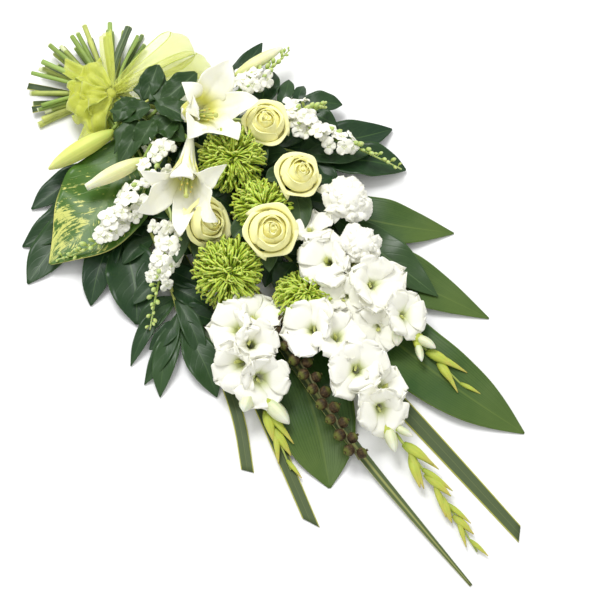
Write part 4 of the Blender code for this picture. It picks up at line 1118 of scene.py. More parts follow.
def lily_petals(root, throat, mouth, tips, width):
    """Six petals round one trumpet: broad at the mouth, pointed, grooved, waved and curled back."""
    way = unit(mouth - throat)
    petals = []
    for k, tip in enumerate(tips):
        tip = vec(tip)
        out = tip - mouth
        out = unit(out - way * out.dot(way))
        reach = np.linalg.norm(tip - mouth)
        inner = k % 2
        broad = width * (1.12 if inner else 0.86) * min(1.0, 0.3 + reach / 80)
        stations = (
            (root + out * 3.5, 6),
            (lerp(root, throat, 0.5) + out * 7, 14),
            (throat + out * 11.5, 24),
            (lerp(throat, mouth, 0.5) + out * min(17, reach * 0.3), 33),
            (mouth - way * 5 + out * min(24, reach * 0.38), broad * 0.98),
            (mouth - way * (0 if inner else 2.5) + out * min(38, reach * 0.55), broad * 1.08),
            (lerp(mouth, tip, 0.7) + way * 4, broad * 0.76),
            (lerp(mouth, tip, 0.84) + way * 3, broad * 0.45),
            (lerp(mouth, tip, 0.94) + way, broad * 0.19),
            (tip, 0.6),
        )
        line = widening(stations, 38, 2)
        draw = random.Random(k)
        phase = draw.uniform(0, 6)

        def section(s, t):
            edge = np.abs(s) ** 3 * np.sin(t * 20 + np.sign(s) * 1.3 + phase) * (0.1 if inner else 0.06)
            groove = 0.1 * np.exp(-((s / 0.13) ** 2)) * math.sin(math.pi * min(t * 1.15, 1.0))
            return 0.2 * s * s - 0.06 + edge * min(1.0, t * 1.6) - groove

        side = np.cross(way, out)
        grid = blade_grid(line[:, :3], line[:, 3], LILY_COLUMNS, section, side)
        waist = grid[LILY_WAIST]
        if (waist[0] + waist[-1] - 2 * waist[LILY_COLUMNS // 2]).dot(way) < 0:
            grid = blade_grid(line[:, :3], line[:, 3], LILY_COLUMNS, lambda s, t: -section(s, t), side)
        grid += way * (1.4 if inner else -0.8) * np.linspace(0, 1, len(line))[:, None, None]
        petals.append(sheet(grid, draw.uniform(0, 1)))
    return petals


def lily_heart(throat, mouth, pistil):
    """The pistil with its swollen tip, and six filaments with small tips."""
    way = unit(mouth - throat)
    side = unit(np.cross(way, UP))
    parts = []
    for k in range(6):
        angle = k * math.pi / 3 + 0.3
        out = side * math.cos(angle) + np.cross(way, side) * math.sin(angle)
        end = lerp(throat, pistil, 0.72) + out * 8
        line = route([throat + out * 3, lerp(throat, end, 0.5) + out * 2 - UP * 2, end], 12)
        parts.append(rod(line, np.linspace(1.3, 0.9, 12), 7, 0.2))
        parts.append(rod(line[-1] + np.outer((-1.2, 0.2, 1.4), way), (0.9, 1.4, 0.9), 6, 0.8))
    line = route([throat, lerp(throat, pistil, 0.5) - UP * 3, pistil], 12)
    parts.append(rod(line, np.linspace(2.6, 1.7, 12), 8, 0.2))
    ahead = unit(line[-1] - line[-3])
    parts.append(rod(line[-1] + np.outer((-2.5, -0.5, 1.5, 2.6), ahead), (1.9, 3.4, 3.5, 1.6), 9, 0.5))
    return parts


def bud_shape(base, tip, radius, rows=16, open_tip=0.0):
    """A lily bud: three broad sepals lapped over three more, which show as ribs. It parts when open."""
    base, tip = vec(base), vec(tip)
    t = np.linspace(0.0, 1.0, rows)
    swell = profile((0.3, 0.62, 0.86, 0.98, 1.0, 0.95, 0.8, 0.55, 0.12 + 0.3 * open_tip), t)
    made = rod(arched(base, tip, t, UP * radius * 0.18), radius * swell, BUD_SIDES)
    mesh = made.data
    order = ball_pattern(BUD_SIDES, rows)[1]
    co = np.empty((len(order), 3))
    mesh.vertices.foreach_get("co", co.ravel())
    spots = co[order]
    rings = spots[1:-1].reshape(rows, BUD_SIDES, 3)
    middle = rings.mean(axis=1, keepdims=True)
    every_other = (np.arange(BUD_SIDES) % 2)[None, :, None]
    grooves = 1.0 - 0.16 * every_other * np.sin(math.pi * t * 0.93)[:, None, None]
    rings[:] = middle + (rings - middle) * grooves
    co[order] = spots
    mesh.vertices.foreach_set("co", co.ravel())
    return made


def rose_petals(centre, axis, turn, radius, count):
    """A bud of tight petals, rings of broad ones that close over it, and an outer ring that folds back."""
    place = facing(centre, axis, turn)
    draw = random.Random(int(radius * 10 + turn * 100))
    petals = []
    v = np.linspace(0.0, 1.0, 23)[:, None]
    u = np.linspace(-1.0, 1.0, 23)[None, :]
    rise = np.sin(math.pi * 0.5 * np.clip(v / 0.5, 0.02, 1)) ** 0.8
    closing = np.sin(math.pi * 0.5 * np.clip((v - 0.45) / 0.55, 0, 1)) ** 2
    curling = np.clip((v - 0.82) / 0.18, 0, 1) ** 1.5
    hearts = count // 4
    rings = (count - hearts) // 3
    for k in range(count):
        if k < hearts:
            t = k / hearts
            lip, belly, top, span = 0.03 + 0.13 * t, 0.14 + 0.2 * t, 0.4, 2.5 - 0.6 * t
            flare, corner, drift, shade = 0.02, 0.2, 0.0, 0.4 * t
        else:
            t = min(((k - hearts) // 3) / (rings - 1), 1.0)
            lip = float(profile((0.2, 0.36, 0.54, 0.94), t)) + draw.uniform(-0.04, 0.06)
            belly = float(profile((0.48, 0.68, 0.86, 0.92), t))
            top = float(profile((0.37, 0.28, 0.14, -0.32), t))
            span = 1.5 - 0.2 * t
            flare, corner, drift, shade = 0.06 + 0.14 * t**2, 0.36, 0.04, 0.4 + 0.6 * t
        lip *= radius
        belly *= radius
        span *= draw.uniform(0.94, 1.06)
        top = radius * top + draw.uniform(-1.2, 1.2)
        phase = draw.uniform(0, 6)
        curl = radius * flare * draw.uniform(0.7, 1.3) * (0.3 + np.abs(u) ** 1.3) * curling
        out = (belly * rise + (lip - belly) * closing) * (1 + 0.05 * u) + curl
        out = out + radius * 0.03 * np.sin(u * 3.5 + phase) * v**2
        wave = radius * 0.025 * np.sin(u * 6 + phase) * v**4
        round_off = np.abs(u) ** 2.4 * radius * corner
        height = -radius * 1.1 * (1 - v**0.8) + top * v**0.8 - round_off * v**2 + wave - curl * 0.6
        height = height + radius * 0.07 * np.exp(-((u / 0.16) ** 2)) * curling
        out = out + radius * 0.2 * t * np.exp(-((u / 0.3) ** 2)) * curling
        bearing = 2.1 * (k + t) + draw.uniform(-0.2, 0.2) + u * span * np.sqrt(np.clip(v * 1.5, 0.12, 1))
        shift = vec((draw.uniform(-1, 1), draw.uniform(-1, 1), 0)) * radius * drift
        grid = np.stack(np.broadcast_arrays(out * np.cos(bearing), out * np.sin(bearing), height), axis=-1)
        petals.append(sheet(moved(place, grid + shift * v[..., None]), shade))
    heart = np.outer((-1.0, -0.72, -0.5, -0.3, -0.12, 0.02, 0.12, 0.22, 0.36), (0.0, 0.0, radius))
    swell = radius * vec((0.1, 0.55, 0.66, 0.6, 0.48, 0.36, 0.24, 0.13, 0.04))
    return petals, rod(moved(place, heart), swell, 18, 0.2)


def mum_petals(centre, axis, radius, turn, count):
    """Narrow petals out of a low heart on every side, each hooked at its tip in its own way."""
    place = facing(centre, axis, turn)
    heart = UP * -radius * 0.56
    draw = random.Random(int(radius * 7))
    needles = []
    for k in range(count):
        lean = math.acos(1 - 1.24 * ((k + 0.5) / count))
        out, side = spoke(GOLDEN_ANGLE * k + draw.uniform(-0.1, 0.1))
        flat = math.sin(lean)
        way = out * flat + UP * math.cos(lean) * 0.94
        over = unit(np.cross(side, way))
        length = radius * lerp(0.62, 1.0, flat**2) * draw.uniform(0.8, 1.05)
        hook = draw.uniform(0.1, 0.4) * radius * draw.choice((1, 1, 1, -0.5))
        swing = draw.uniform(-0.2, 0.2) * radius
        line = [heart + way * radius * 0.12]
        for ahead, lift, aside in ((0.6, -0.3, 0.2), (1.0, -0.1, 1.0), (1.0, 0.6, 1.5), (0.9, 0.8, 1.6)):
            line.append(heart + way * length * ahead + over * hook * lift + side * swing * aside)
        radii = vec((0.9, 1.1, 1.15, 1.2, 1.3, 1.5, 1.7, 1.2)) * draw.uniform(0.8, 1.1)
        needles.append(rod(moved(place, route(line, 8, 2)), radii, 4, draw.uniform(0, 1), 0.7))
    core = heart + np.outer((-0.3, -0.1, 0.15, 0.3), (0, 0, radius))
    needles.append(rod(moved(place, core), radius * vec((0.1, 0.4, 0.42, 0.2)), 12, 0.0))
    return needles


def ball_core(centre, axis, radius):
    """The crowded foot of a bloom's petals, as one round body."""
    t = np.linspace(-0.97, 0.97, 9)
    return rod(centre + np.outer(t * radius, axis), radius * np.sqrt(1 - t * t), 14)


def carnation_petals(centre, axis, radius, turn, count):
    """Frilled fans in rings: flat ones outside, and ones that stand and curl outwards towards the middle."""
    place = facing(centre, axis, turn)
    bottom = -radius * 0.62
    draw = random.Random(int(radius * 3))
    u = np.linspace(-1.0, 1.0, 21)[None, :]
    v = np.linspace(0.0, 1.0, 12)[:, None]
    petals = []
    for k in range(count):
        t = (k + 0.5) / count
        out, side = spoke(GOLDEN_ANGLE * k + draw.uniform(-0.25, 0.25))
        reach = radius * lerp(0.14, 1.0, t**0.62) * draw.uniform(0.9, 1.03)
        top = radius * (0.16 - 0.52 * t**1.6) + draw.uniform(-1.5, 1.5)
        steep = lerp(0.5, 0.25, t)
        along = reach * (steep * v + (1 - steep) * v**3)
        height = bottom + (top - bottom) * np.sin(math.pi * 0.5 * v) ** 0.8 - radius * 0.1 * v**6
        half = radius * lerp(0.36, 0.6, t) * (0.12 + 0.88 * v**1.3) * draw.uniform(0.9, 1.1)
        phase = draw.uniform(0, 6)
        frill = radius * 0.085 * v**2.5 * np.sin(u * 5.4 + phase)
        frill = frill + radius * 0.016 * v**5 * np.sin(u * 15 + phase * 2)
        nicks = radius * 0.02 * (np.arange(21) % 2)[None, :] * (v > 0.99)
        nicks = nicks + radius * 0.16 * np.abs(u) ** 2 * v
        swirl = radius * 0.1 * np.sin(u * 2.5 + phase) * v**2
        grid = (along - nicks + swirl)[..., None] * out + (u * half)[..., None] * side
        grid = grid + (height + frill)[..., None] * UP
        petals.append(sheet(moved(place, grid), draw.uniform(0, 1)))
    return petals


def gladiolus_floret(centre, axis, radius, turn, root, seed, neighbours, depth):
    """Three broad petals over three pointed ones, frilled, and short where another floret crowds them."""
    place = facing(centre, axis, turn)
    into = np.array(place.inverted() @ Vector(root))
    draw = random.Random(seed)
    beside = [np.array(place.inverted() @ Vector(other)) for other in neighbours]
    u = np.linspace(-1.0, 1.0, 21)[None, :]
    v = np.linspace(0.0, 1.0, 26)[:, None]
    margin = np.clip((v - 0.5) / 0.42, 0, 1) * np.abs(u) ** 2.2 + np.clip((v - 0.86) / 0.14, 0, 1)
    margin = np.minimum(margin, 1.0)
    petals = []
    for k in range(6):
        inner = k % 2
        out, side = spoke(math.pi / 3 * k + draw.uniform(-0.16, 0.16))
        reach = radius * (0.98 if inner else 1.12) * draw.uniform(0.93, 1.06)
        crowd = 0.0
        for other in beside:
            gap = np.linalg.norm(other)
            if out.dot(other) / gap > 0.6 and gap * 0.7 < reach:
                crowd = max(crowd, reach - max(gap * 0.7, radius * 0.55))
        reach -= crowd
        broad = radius * (1.3 if inner else 1.06) * draw.uniform(0.94, 1.06) * (reach / radius) ** 0.3
        lift = (2.8 if inner else -1.4) + crowd * 0.35
        bend = draw.uniform(-3.5, 3.0)
        stations = (
            (into + out * 2, 5),
            (into * 0.5 + out * radius * 0.1 - UP * (depth + 1), 9),
            (out * radius * 0.13 - UP * depth, broad * (0.46 - 0.02 * depth)),
            (out * radius * 0.3 + UP * (lift * 0.4 - 4), broad * 0.56),
            (out * reach * 0.58 + UP * (lift - 1), broad * 0.92),
            (out * reach * 0.8 + UP * (lift + 1.5), broad),
            (out * reach * 0.94 + UP * (lift + bend), broad * (0.78 if inner else 0.6)),
            (out * reach * 1.05 + UP * (lift + bend * 1.3), broad * (0.36 if inner else 0.1)),
        )
        line = widening(stations, 26)
        phase = draw.uniform(0, 6)

        def section(s, t):
            return 0.05 * s * s + 0.16 * max(0.0, 0.5 - t) * s * s

        grid = blade_grid(line[:, :3], line[:, 3], 21, section, side)
        run = 8 * v * np.sign(u) + 4 * u + phase
        frill = 0.08 * np.sin(run) + 0.05 * np.sin(2.3 * run + phase) + 0.012 * np.sin(7 * run)
        grid += (margin * frill * radius)[..., None] * UP
        nicks = 0.045 * np.sin(1.4 * run + phase) + 0.018 * np.sin(5.2 * run)
        grid += (margin * nicks * radius)[..., None] * (u[..., None] * side * 0.7 + out * 0.8)
        petals.append(sheet(moved(place, grid), draw.uniform(0, 1)))
    return petals


def gladiolus_stamens(centre, axis, radius, turn, root):
    """Three curved stamens deep in the floret's throat."""
    place = facing(centre, axis, turn)
    into = np.array(place.inverted() @ Vector(root))
    stamens = []
    for k in range(3):
        out, _ = spoke(0.5 + 0.4 * k)
        line = route([into + out, -UP * 12 + out * 2, out * radius * 0.16 + UP], 10)
        stamens.append(rod(moved(place, line), (0.8, 0.8, 0.8, 0.8, 0.8, 0.8, 1.2, 1.6, 1.5, 0.7), 6, 0.0))
    return stamens


def stock_floret(point, out, radius, turn, seed):
    """A small floret of four rounded petals laid open, with a crumpled one at its heart."""
    draw = random.Random(seed)
    place = facing(point, out, turn)
    petals = []
    v = np.linspace(0.0, 1.0, 8)[:, None]
    u = np.linspace(-1.0, 1.0, 9)[None, :]
    for k in range(5):
        inner = k > 3
        way, side = spoke(math.pi / 2 * k + inner * 0.8 + draw.uniform(-0.3, 0.3))
        size = radius * (0.45 if inner else 1.0) * draw.uniform(0.86, 1.14)
        half = size * 0.5 * np.sin(math.pi * (0.04 + 0.7 * v)) ** 0.9
        lift = size * (0.5 if inner else 0.05) * v + size * 0.1 * np.sin(u * 2.6 + draw.uniform(0, 6)) * v
        lift = lift - size * draw.uniform(0.0, 0.3) * v**3 + size * 0.05 * np.sin(u * 6 + seed) * v**2
        along = v * size * (1.0 - 0.16 * u * u * v)
        grid = along[..., None] * way + (u * half)[..., None] * side + lift[..., None] * UP
        petals.append(sheet(moved(place, grid), draw.uniform(0, 1)))
    return petals


def stock_parts(stalk, florets, buds, seed, density):
    """The florets and the greenery of one spray, set round its stalk, with buds between and at the tip."""
    draw = random.Random(seed)
    line = route(stalk, 30)
    ways = directions(line)
    count = int(florets * density)
    total = count + buds * 3
    white = []
    green = [rod(line, np.linspace(2.4, 1.1, 30), 8, 0.4)]
    for k in range(total):
        t = lerp(0.0, 0.99, (k + 0.5) / total)
        i = min(int(t * 29), 28)
        point = line[i]
        way = ways[i]
        side = unit(np.cross(way, UP))
        rise = np.cross(side, way)
        angle = GOLDEN_ANGLE * k
        out = unit(side * math.cos(angle) + rise * abs(math.sin(angle)) + UP * 0.2 + way * 0.3)
        if k < count:
            radius = lerp(14.0, 10.5, t) * draw.uniform(0.75, 1.1)
            centre = point + out * lerp(18.0, 11.0, t) * draw.uniform(0.65, 1.4)
            turned = unit(out * 0.8 + UP * 0.45 + vec([draw.uniform(-0.45, 0.45) for _ in range(3)]))
            white += stock_floret(centre, turned, radius, draw.uniform(0, 3), seed * 100 + k)
            foot = centre - turned * 1.5
            neck = route([point, lerp(point, foot, 0.5) + way * 3, foot], 6, 1)
            green.append(rod(neck, (0.9, 0.8, 0.8, 1.6, 2.3, 1.6), 6))
        if k >= count or k % 2 == 0:
            size = lerp(3.5, 2.0, max(0.0, (k - count) / max(total - count, 1))) * draw.uniform(0.7, 1.2)
            lean = unit(out + side * draw.uniform(-0.9, 0.9) + UP * 0.3)
            base = point + lean * lerp(12.0, 4.0, t) * draw.uniform(0.7, 1.4)
            tip = base + (lean + way * 0.7) * size * 2.0
            stations = route([point, base, lerp(base, tip, 0.35), lerp(base, tip, 0.7), tip], 9, 1)
            radii = size * vec((0.25, 0.22, 0.24, 0.4, 0.75, 1.0, 1.0, 0.8, 0.3))
            green.append(rod(stations, radii, 8, draw.uniform(0.6, 1)))
    return white, green


def leaf_sheet(base, tip, width, arch, outline, cup, shade, wave=0.5, fold=0.12, *, seed):
    """One leaf from its base to its tip, arched up between them, folded a little along its rib."""
    base, tip = vec(base), vec(tip)
    draw = random.Random(seed)
    t = np.linspace(0.0, 1.0, 26)
    sway = unit(np.cross(tip - base, UP)) * draw.uniform(-0.07, 0.07) * np.linalg.norm(tip - base)
    spine = arched(base, tip, t, UP * arch) + np.outer(np.sin(math.pi * t), sway)
    widths = np.maximum(smooth_outline(outline, t) * width, 1.2)
    phase = draw.uniform(0, 6)
    curl = draw.uniform(-0.1, 0.14)

    def section(s, t):
        edge = wave * 0.1 * np.abs(s) ** 2 * np.sin(t * 17 + np.sign(s) * 1.7 + phase) * math.sin(math.pi * t)
        return (cup + curl * t) * s * s + fold * (np.abs(s) - 0.5) + edge

    return sheet(above_table(blade_grid(spine, widths, 11, section), LEAF_REST), shade)


def filler_leaves(line, seed):
    """Shorter leaves all along a leafy stem, in pairs, which close the gaps between the flowers."""
    points = route(line, 40)
    ways = directions(points)
    draw = random.Random(seed)
    count = 2 * int(length_of(points) / FILLER_SPACING)
    leaves = []
    for k in range(count):
        i = int(lerp(3, 38, (k + 0.5) / count))
        side = unit(np.cross(ways[i], UP)) * (1 if k % 2 else -1)
        angle = math.radians(draw.uniform(42, 68))
        reach = draw.uniform(52, 66)
        tip = points[i] + (ways[i] * math.cos(angle) + side * math.sin(angle)) * reach
        tip[2] = max(3.0, points[i][2] + draw.uniform(-9, 5))
        width = draw.uniform(25, 32)
        leaves.append(leaf_sheet(points[i], tip, width, 5.0, OVAL, 0.1, draw.uniform(0, 0.7), seed=seed + k))
    return leaves


def smooth_outline(outline, t):
    """The stations of an outline rounded off into a curve."""
    line = rounded(np.stack((np.linspace(0, 1, len(outline)), outline), axis=1), 3)
    return np.interp(t, line[:, 0], line[:, 1]) * 1.04


def spathe(base, tip, radius, shade):
    """A green sheath folded round the stalk, open along one side and drawn out to a point."""
    base, tip = vec(base), vec(tip)
    t = np.linspace(0.0, 1.0, 16)
    line = arched(base, tip, t, UP * np.linalg.norm(tip - base) * 0.05)
    way = unit(tip - base)
    side = unit(np.cross(way, UP))
    rise = np.cross(side, way)
    half = radius * profile((0.55, 0.9, 1.0, 0.9, 0.66, 0.36, 0.05), t)
    angles = np.linspace(-2.2, 2.2, 9)
    round_it = np.outer(np.sin(angles), side) + np.outer(np.cos(angles) * 0.75, rise)
    return sheet(line[:, None, :] + half[:, None, None] * round_it, shade)


def lily(name, root, throat, mouth, tips, width, pistil):
    """One lily flower: petals round the trumpet, the pistil and the stamens."""
    root, throat, mouth, pistil = vec(root), vec(throat), vec(mouth), vec(pistil)
    yellow = (0.8, 0.78, 0.14)
    white = finish(petal_material, "Lily petal", colours().lily_white, yellow, 0.68, 18.0, 0.3, 0.22)
    line = [root, lerp(root, throat, 0.5), throat, lerp(root, throat, 1.12)]
    trumpet = squeeze_along(rod(line, (5.5, 9.8, 14.6, 15.0), 18, 0.3), 0.5, 0.68)
    petals = lily_petals(root, throat, mouth, tips, width)
    made = joined(name + "_petals", petals, sizes().petal_thickness, [trumpet])
    finish_piece(made, white, "lily_petal", name + "_flower")
    heart = joined(name + "_stamens", rods=lily_heart(throat, mouth, pistil))
    finish_piece(heart, finish(stamen_material), "lily_petal")


def squeeze_along(made, low, high):
    """Gives a body the colours of one part of a petal's length only."""
    layer = made.data.uv_layers[0].uv
    values = np.empty(2 * len(layer))
    layer.foreach_get("vector", values)
    values[1::2] = lerp(low, high, values[1::2])
    layer.foreach_set("vector", values)
    return made


def side_stalk(points, count):
    """The short stalk of a lily bud."""
    return rod(route(points, count), [LILY_SIDE_STALK] * count)


def lilies():
    for name, given in LILIES.items():
        lily(name, *given)
    green = finish(stem_material, colours().stem_green)
    pale = finish(bud_material, "Lily bud", (0.5, 0.55, 0.12), (0.86, 0.84, 0.42), (0.94, 0.93, 0.78))
    lime = finish(bud_material, "Green bud", (0.36, 0.46, 0.05), (0.68, 0.72, 0.16), (0.76, 0.78, 0.3))
    upper = [
        stem("lily_upper", [(-16, 330, 50), (14, 301, 57)], LILY_STALK),
        side_stalk([(-24, 331, 53), (30, 336, 62), (114, 314, 58)], 14),
        side_stalk([(-30, 345, 50), (-50, 352, 52), (-72, 346, 50)], 10),
    ]
    finish_piece(joined("lily_upper_stalk", rods=upper), green, "green_stem", "lily_upper_stem")
    lower = [
        stem("lily_lower", [(-12, 316, 46), (2, 280, 52), (3, 265, 59)], LILY_STALK),
        side_stalk([(-12, 312, 47), (-40, 292, 62), (-68, 274, 62)], 12),
    ]
    finish_piece(joined("lily_lower_stalk", rods=lower), green, "green_stem", "lily_lower_stem")
    closed = joined("lily_bud_closed", rods=[bud_shape((-73, 342, 50), (-176, 352, 36), 15.0)])
    finish_piece(closed, lime, "lily_petal")
    opening = [
        bud_shape((-66, 274, 62), (-152, 290, 50), 12.5, open_tip=1.0),
        bud_shape((113, 314, 58), (200, 323, 40), 10.0, open_tip=0.4),
    ]
    finish_piece(joined("lily_buds_cream", rods=opening), pale, "lily_petal")


def bloom_stalk(name, centre, axis, radius, share):
    """The stem from its cut end up to the back of a round bloom."""
    axis = unit(vec(axis))
    root = vec(centre) - axis * radius * share
    made = stem(name, [(root[0], root[1] + 26, PLACES[name][1]), root - axis * 8, root + axis * 3])
    green = finish(stem_material, colours().stem_green)
    finish_piece(joined(name + "_stalk", rods=[made]), green, "green_stem", name + "_stem")


def roses():
    given = colours()
    cream = finish(rose_material, given.rose_cream, given.rose_heart)
    green = finish(leaf_material, "Rose leaf", (0.025, 0.055, 0.018), (0.1, 0.16, 0.05), 8.0, 0.3, 0.5, 0.4)
    for name, (centre, axis, turn, radius) in ROSES.items():
        petals, heart = rose_petals(centre, unit(vec(axis)), turn, radius, sizes().rose_petals)
        made = joined(name + "_petals", petals, sizes().petal_thickness, [heart])
        finish_piece(made, cream, "rose_petal", name + "_bloom")
        bloom_stalk(name, centre, axis, radius, 1.4)
        leaves = [
            leaf_sheet(base, tip, width, 8.0, OVAL, 0.14, 0.3 + 0.4 * i, 1.0, seed=i)
            for i, (base, tip, width) in enumerate(ROSE_LEAVES[name])
        ]
        finish_piece(joined(name + "_leaves", leaves, sizes().leaf_thickness), green, "dark_leaf")


def chrysanthemums():
    lime = finish(needle_material, colours().lime)
    for name, (centre, axis, radius, turn) in MUMS.items():
        needles = mum_petals(centre, unit(vec(axis)), radius, turn, sizes().mum_needles)
        made = joined(name + "_petals", rods=needles)
        finish_piece(made, lime, "chrysanthemum_petal", name + "_bloom")
        bloom_stalk(name, centre, axis, radius, 0.78)


def carnations():
    # The grey cream towards each petal's root is painted shade, where the frilled petals crowd together.
    white = finish(
        petal_material, "Carnation petal", colours().flower_white, (0.7, 0.72, 0.45), 0.5, 24.0, 0.12,
    )
    for name, (centre, axis, radius, turn) in CARNATIONS.items():
        way = unit(vec(axis))
        petals = carnation_petals(centre, way, radius, turn, sizes().carnation_petals)
        core = ball_core(vec(centre) - way * radius * 0.36, way, radius * 0.58)
        made = joined(name + "_petals", petals, sizes().petal_thickness, [core])
        finish_piece(made, white, "carnation_petal", name + "_bloom")
        bloom_stalk(name, centre, axis, radius, 1.1)


def nearest(line, point):
    return line[np.argmin(np.linalg.norm(line - point, axis=1))]


def gladioli():
    given = colours()
    white = finish(petal_material, "Gladiolus petal", given.flower_white, (0.6, 0.66, 0.28), 0.6, 16.0, 0.12)
    green = finish(stem_material, given.stem_green)
    leafy = finish(bud_material, "Spathe", (0.28, 0.38, 0.035), (0.48, 0.56, 0.07), (0.6, 0.5, 0.12))
    budding = finish(bud_material, "Gladiolus bud", (0.35, 0.45, 0.12), (0.75, 0.78, 0.5), (0.88, 0.88, 0.8))
    for name, parts in GLADIOLI.items():
        line = route([*behind_tie(name), *(vec(p) for p in parts["stalk"])], 70)
        past_tie = line[line[:, 1] < TIE_Y - TIE_LENGTH]
        petals = []
        stamens = []
        florets = [*parts["florets"], *EXTRA_FLORETS.get(name, ())]
        depth = 5.0 if name == "gladiolus_right" else 10.0
        for i, (centre, axis, radius) in enumerate(florets):
            axis = unit(vec(axis))
            root = nearest(past_tie, vec(centre) - axis * 24) + UP * 5
            others = [other for other, _, _ in florets if other != centre]
            spread = radius * FLORET_SPREAD
            petals += gladiolus_floret(centre, axis, spread, i * 0.7, root, i, others, depth)
            stamens += gladiolus_stamens(centre, axis, radius, i * 0.7, root)
        made = joined(name + "_petals", petals, sizes().petal_thickness)
        finish_piece(made, white, "gladiolus_petal", name + "_florets")
        finish_piece(joined(name + "_stamens", rods=stamens), finish(stamen_material), "gladiolus_petal")
        spike = [rod(line, profile((3.3, 3.2, 3.0, 2.2, 1.2), np.linspace(0, 1, 70)), 9, 0.7)]
        finish_piece(joined(name + "_spike", rods=spike), green, "green_stem", name + "_stalk")
        sheaths = [
            spathe(base, tip, radius, 0.4 + 0.1 * i) for i, (base, tip, radius) in enumerate(parts["spathes"])
        ]
        for base, tip, radius in parts["buds"]:
            back = vec(base) + (vec(base) - vec(tip)) * 0.25
            sheaths.append(spathe(back, lerp(back, vec(tip), 0.72), radius * 0.95, 0.6))
        first_base = parts["spathes"][0][0]
        sheaths += tip_sheaths(line, first_base[1])
        finish_piece(joined(name + "_spathes", sheaths, sizes().leaf_thickness), leafy, "green_stem")
        buds = [bud_shape(base, tip, radius * 0.92, 14) for base, tip, radius in parts["buds"]]
        finish_piece(joined(name + "_buds", rods=buds), budding, "gladiolus_petal")


def tip_sheaths(line, start):
    """The sheaths that overlap in a zigzag up the rest of the spike, smaller towards its end."""
    ahead = line[line[:, 1] < start]
    ways = directions(ahead)
    count = int(length_of(ahead) / SHEATH_SPACING)
    sheaths = []
    for k in range(count):
        t = k / max(count - 1, 1)
        i = int(t * (len(ahead) - 2))
        side = unit(np.cross(ways[i], UP)) * (1 if k % 2 else -1)
        reach = lerp(50, 26, t)
        tip = ahead[i] + ways[i] * reach + side * reach * 0.33 + UP * 3
        tip[2] = max(tip[2], 2.5)
        sheaths.append(spathe(ahead[i] - ways[i] * 4, tip, lerp(4.8, 2.8, t), 0.3 + 0.6 * (k % 2)))
    return sheaths


def stocks():
    given = colours()
    white = finish(petal_material, "Stock petal", given.flower_white, (0.6, 0.66, 0.3), 0.3, 10.0, 0.12)
    green = finish(bud_material, "Stock bud", (0.2, 0.33, 0.05), (0.42, 0.55, 0.1), (0.6, 0.7, 0.28))
    for seed, (name, (line, florets, buds)) in enumerate(STOCKS.items()):
        petals, greenery = stock_parts(line, florets, buds, seed, sizes().stock_florets)
        made = joined(name + "_florets", petals, sizes().petal_thickness)
        finish_piece(made, white, "stock_petal", name + "_spray")
        start = vec(line[0])
        greenery.append(stem(name, [start + unit(start - vec(line[1])) * 26, start], 2.3))
        finish_piece(joined(name + "_greenery", rods=greenery), green, "green_stem")


def leafy_stems():
    given = ("Glossy leaf", colours().dark_green, (0.08, 0.16, 0.04), 8.0, 0.3, 0.32, 0.12)
    glossy = finish(leaf_material, *given)
    green = finish(stem_material, colours().stem_green)
    for name, (line, leaves) in LEAFY_STEMS.items():
        pointed = name == "leafy_sprig_below"
        arch = 2.0 if name == "leafy_stem_left" else 7.0
        sheets = []
        for i, (base, tip, width) in enumerate(leaves):
            shade = (i * 0.37) % 1.0 + (0.6 if pointed else 0.0)
            outline = LANCE if pointed else OVAL
            sheets.append(leaf_sheet(base, tip, width, arch, outline, 0.12, shade, 1.0, seed=i))
        if name not in ("leafy_stem_left", "leafy_stem_back"):
            sheets += filler_leaves(line, len(name))
        made = joined(name + "_leaves", sheets, sizes().leaf_thickness)
        finish_piece(made, glossy, "dark_leaf", name)
        finish_piece(joined(name + "_stalk", rods=[stem(name, line)]), green, "green_stem")


def ivy_leaf(centre, tip, width, shade):
    """A lobed leaf, wide across its two side lobes and notched where its stalk joins."""
    centre, tip = vec(centre), vec(tip)
    way = unit(tip - centre)
    length = np.linalg.norm(tip - centre)
    t = np.linspace(0.0, 1.0, 22)
    spine = arched(centre - way * length * 0.34, tip, t, UP * 3.0)
    widths = smooth_outline(IVY_OUTLINE, t) * width

    def section(s, at):
        return -0.1 * np.abs(s) ** 1.5 + 0.06 * np.sin(at * 16) * np.abs(s)

    grid = blade_grid(spine, widths, 13, section)
    s = np.linspace(-1.0, 1.0, 13)
    back = np.interp(t, (0.0, 0.25, 0.5, 0.75, 1.0), (-0.16, -0.05, 0.1, 0.0, 0.0)) * length
    grid += (back[:, None] * s[None, :] ** 2)[..., None] * way
    return sheet(grid, shade)


def ivy():
    glossy = finish(leaf_material, "Ivy leaf", (0.012, 0.04, 0.007), (0.1, 0.18, 0.05), 5.0, 0.55, 0.36, 0.3)
    leaves = [ivy_leaf(*leaf, 0.2 + 0.12 * i) for i, leaf in enumerate(IVY_LEAVES)]
    for i, (base, tip, width) in enumerate(TIE_LEAVES):
        leaves.append(leaf_sheet(base, tip, width, 5.0, OVAL, 0.1, 0.1 * i, 1.6, fold=0.2, seed=i + 3))
    finish_piece(joined("ivy_leaves", leaves, sizes().leaf_thickness), glossy, "dark_leaf", "ivy_trail")
    stalks = [
        stem("ivy", [(-38, 360, 56), (-36, 336, 60), (-44, 306, 60)], 1.9, short=True),
        rod(route([(-37, 342, 59), (-14, 352, 62), (16, 342, 66)], 12), [1.6] * 12, 7, 1.0),
    ]
    green = finish(stem_material, colours().stem_green)
    finish_piece(joined("ivy_stalks", rods=stalks), green, "green_stem")


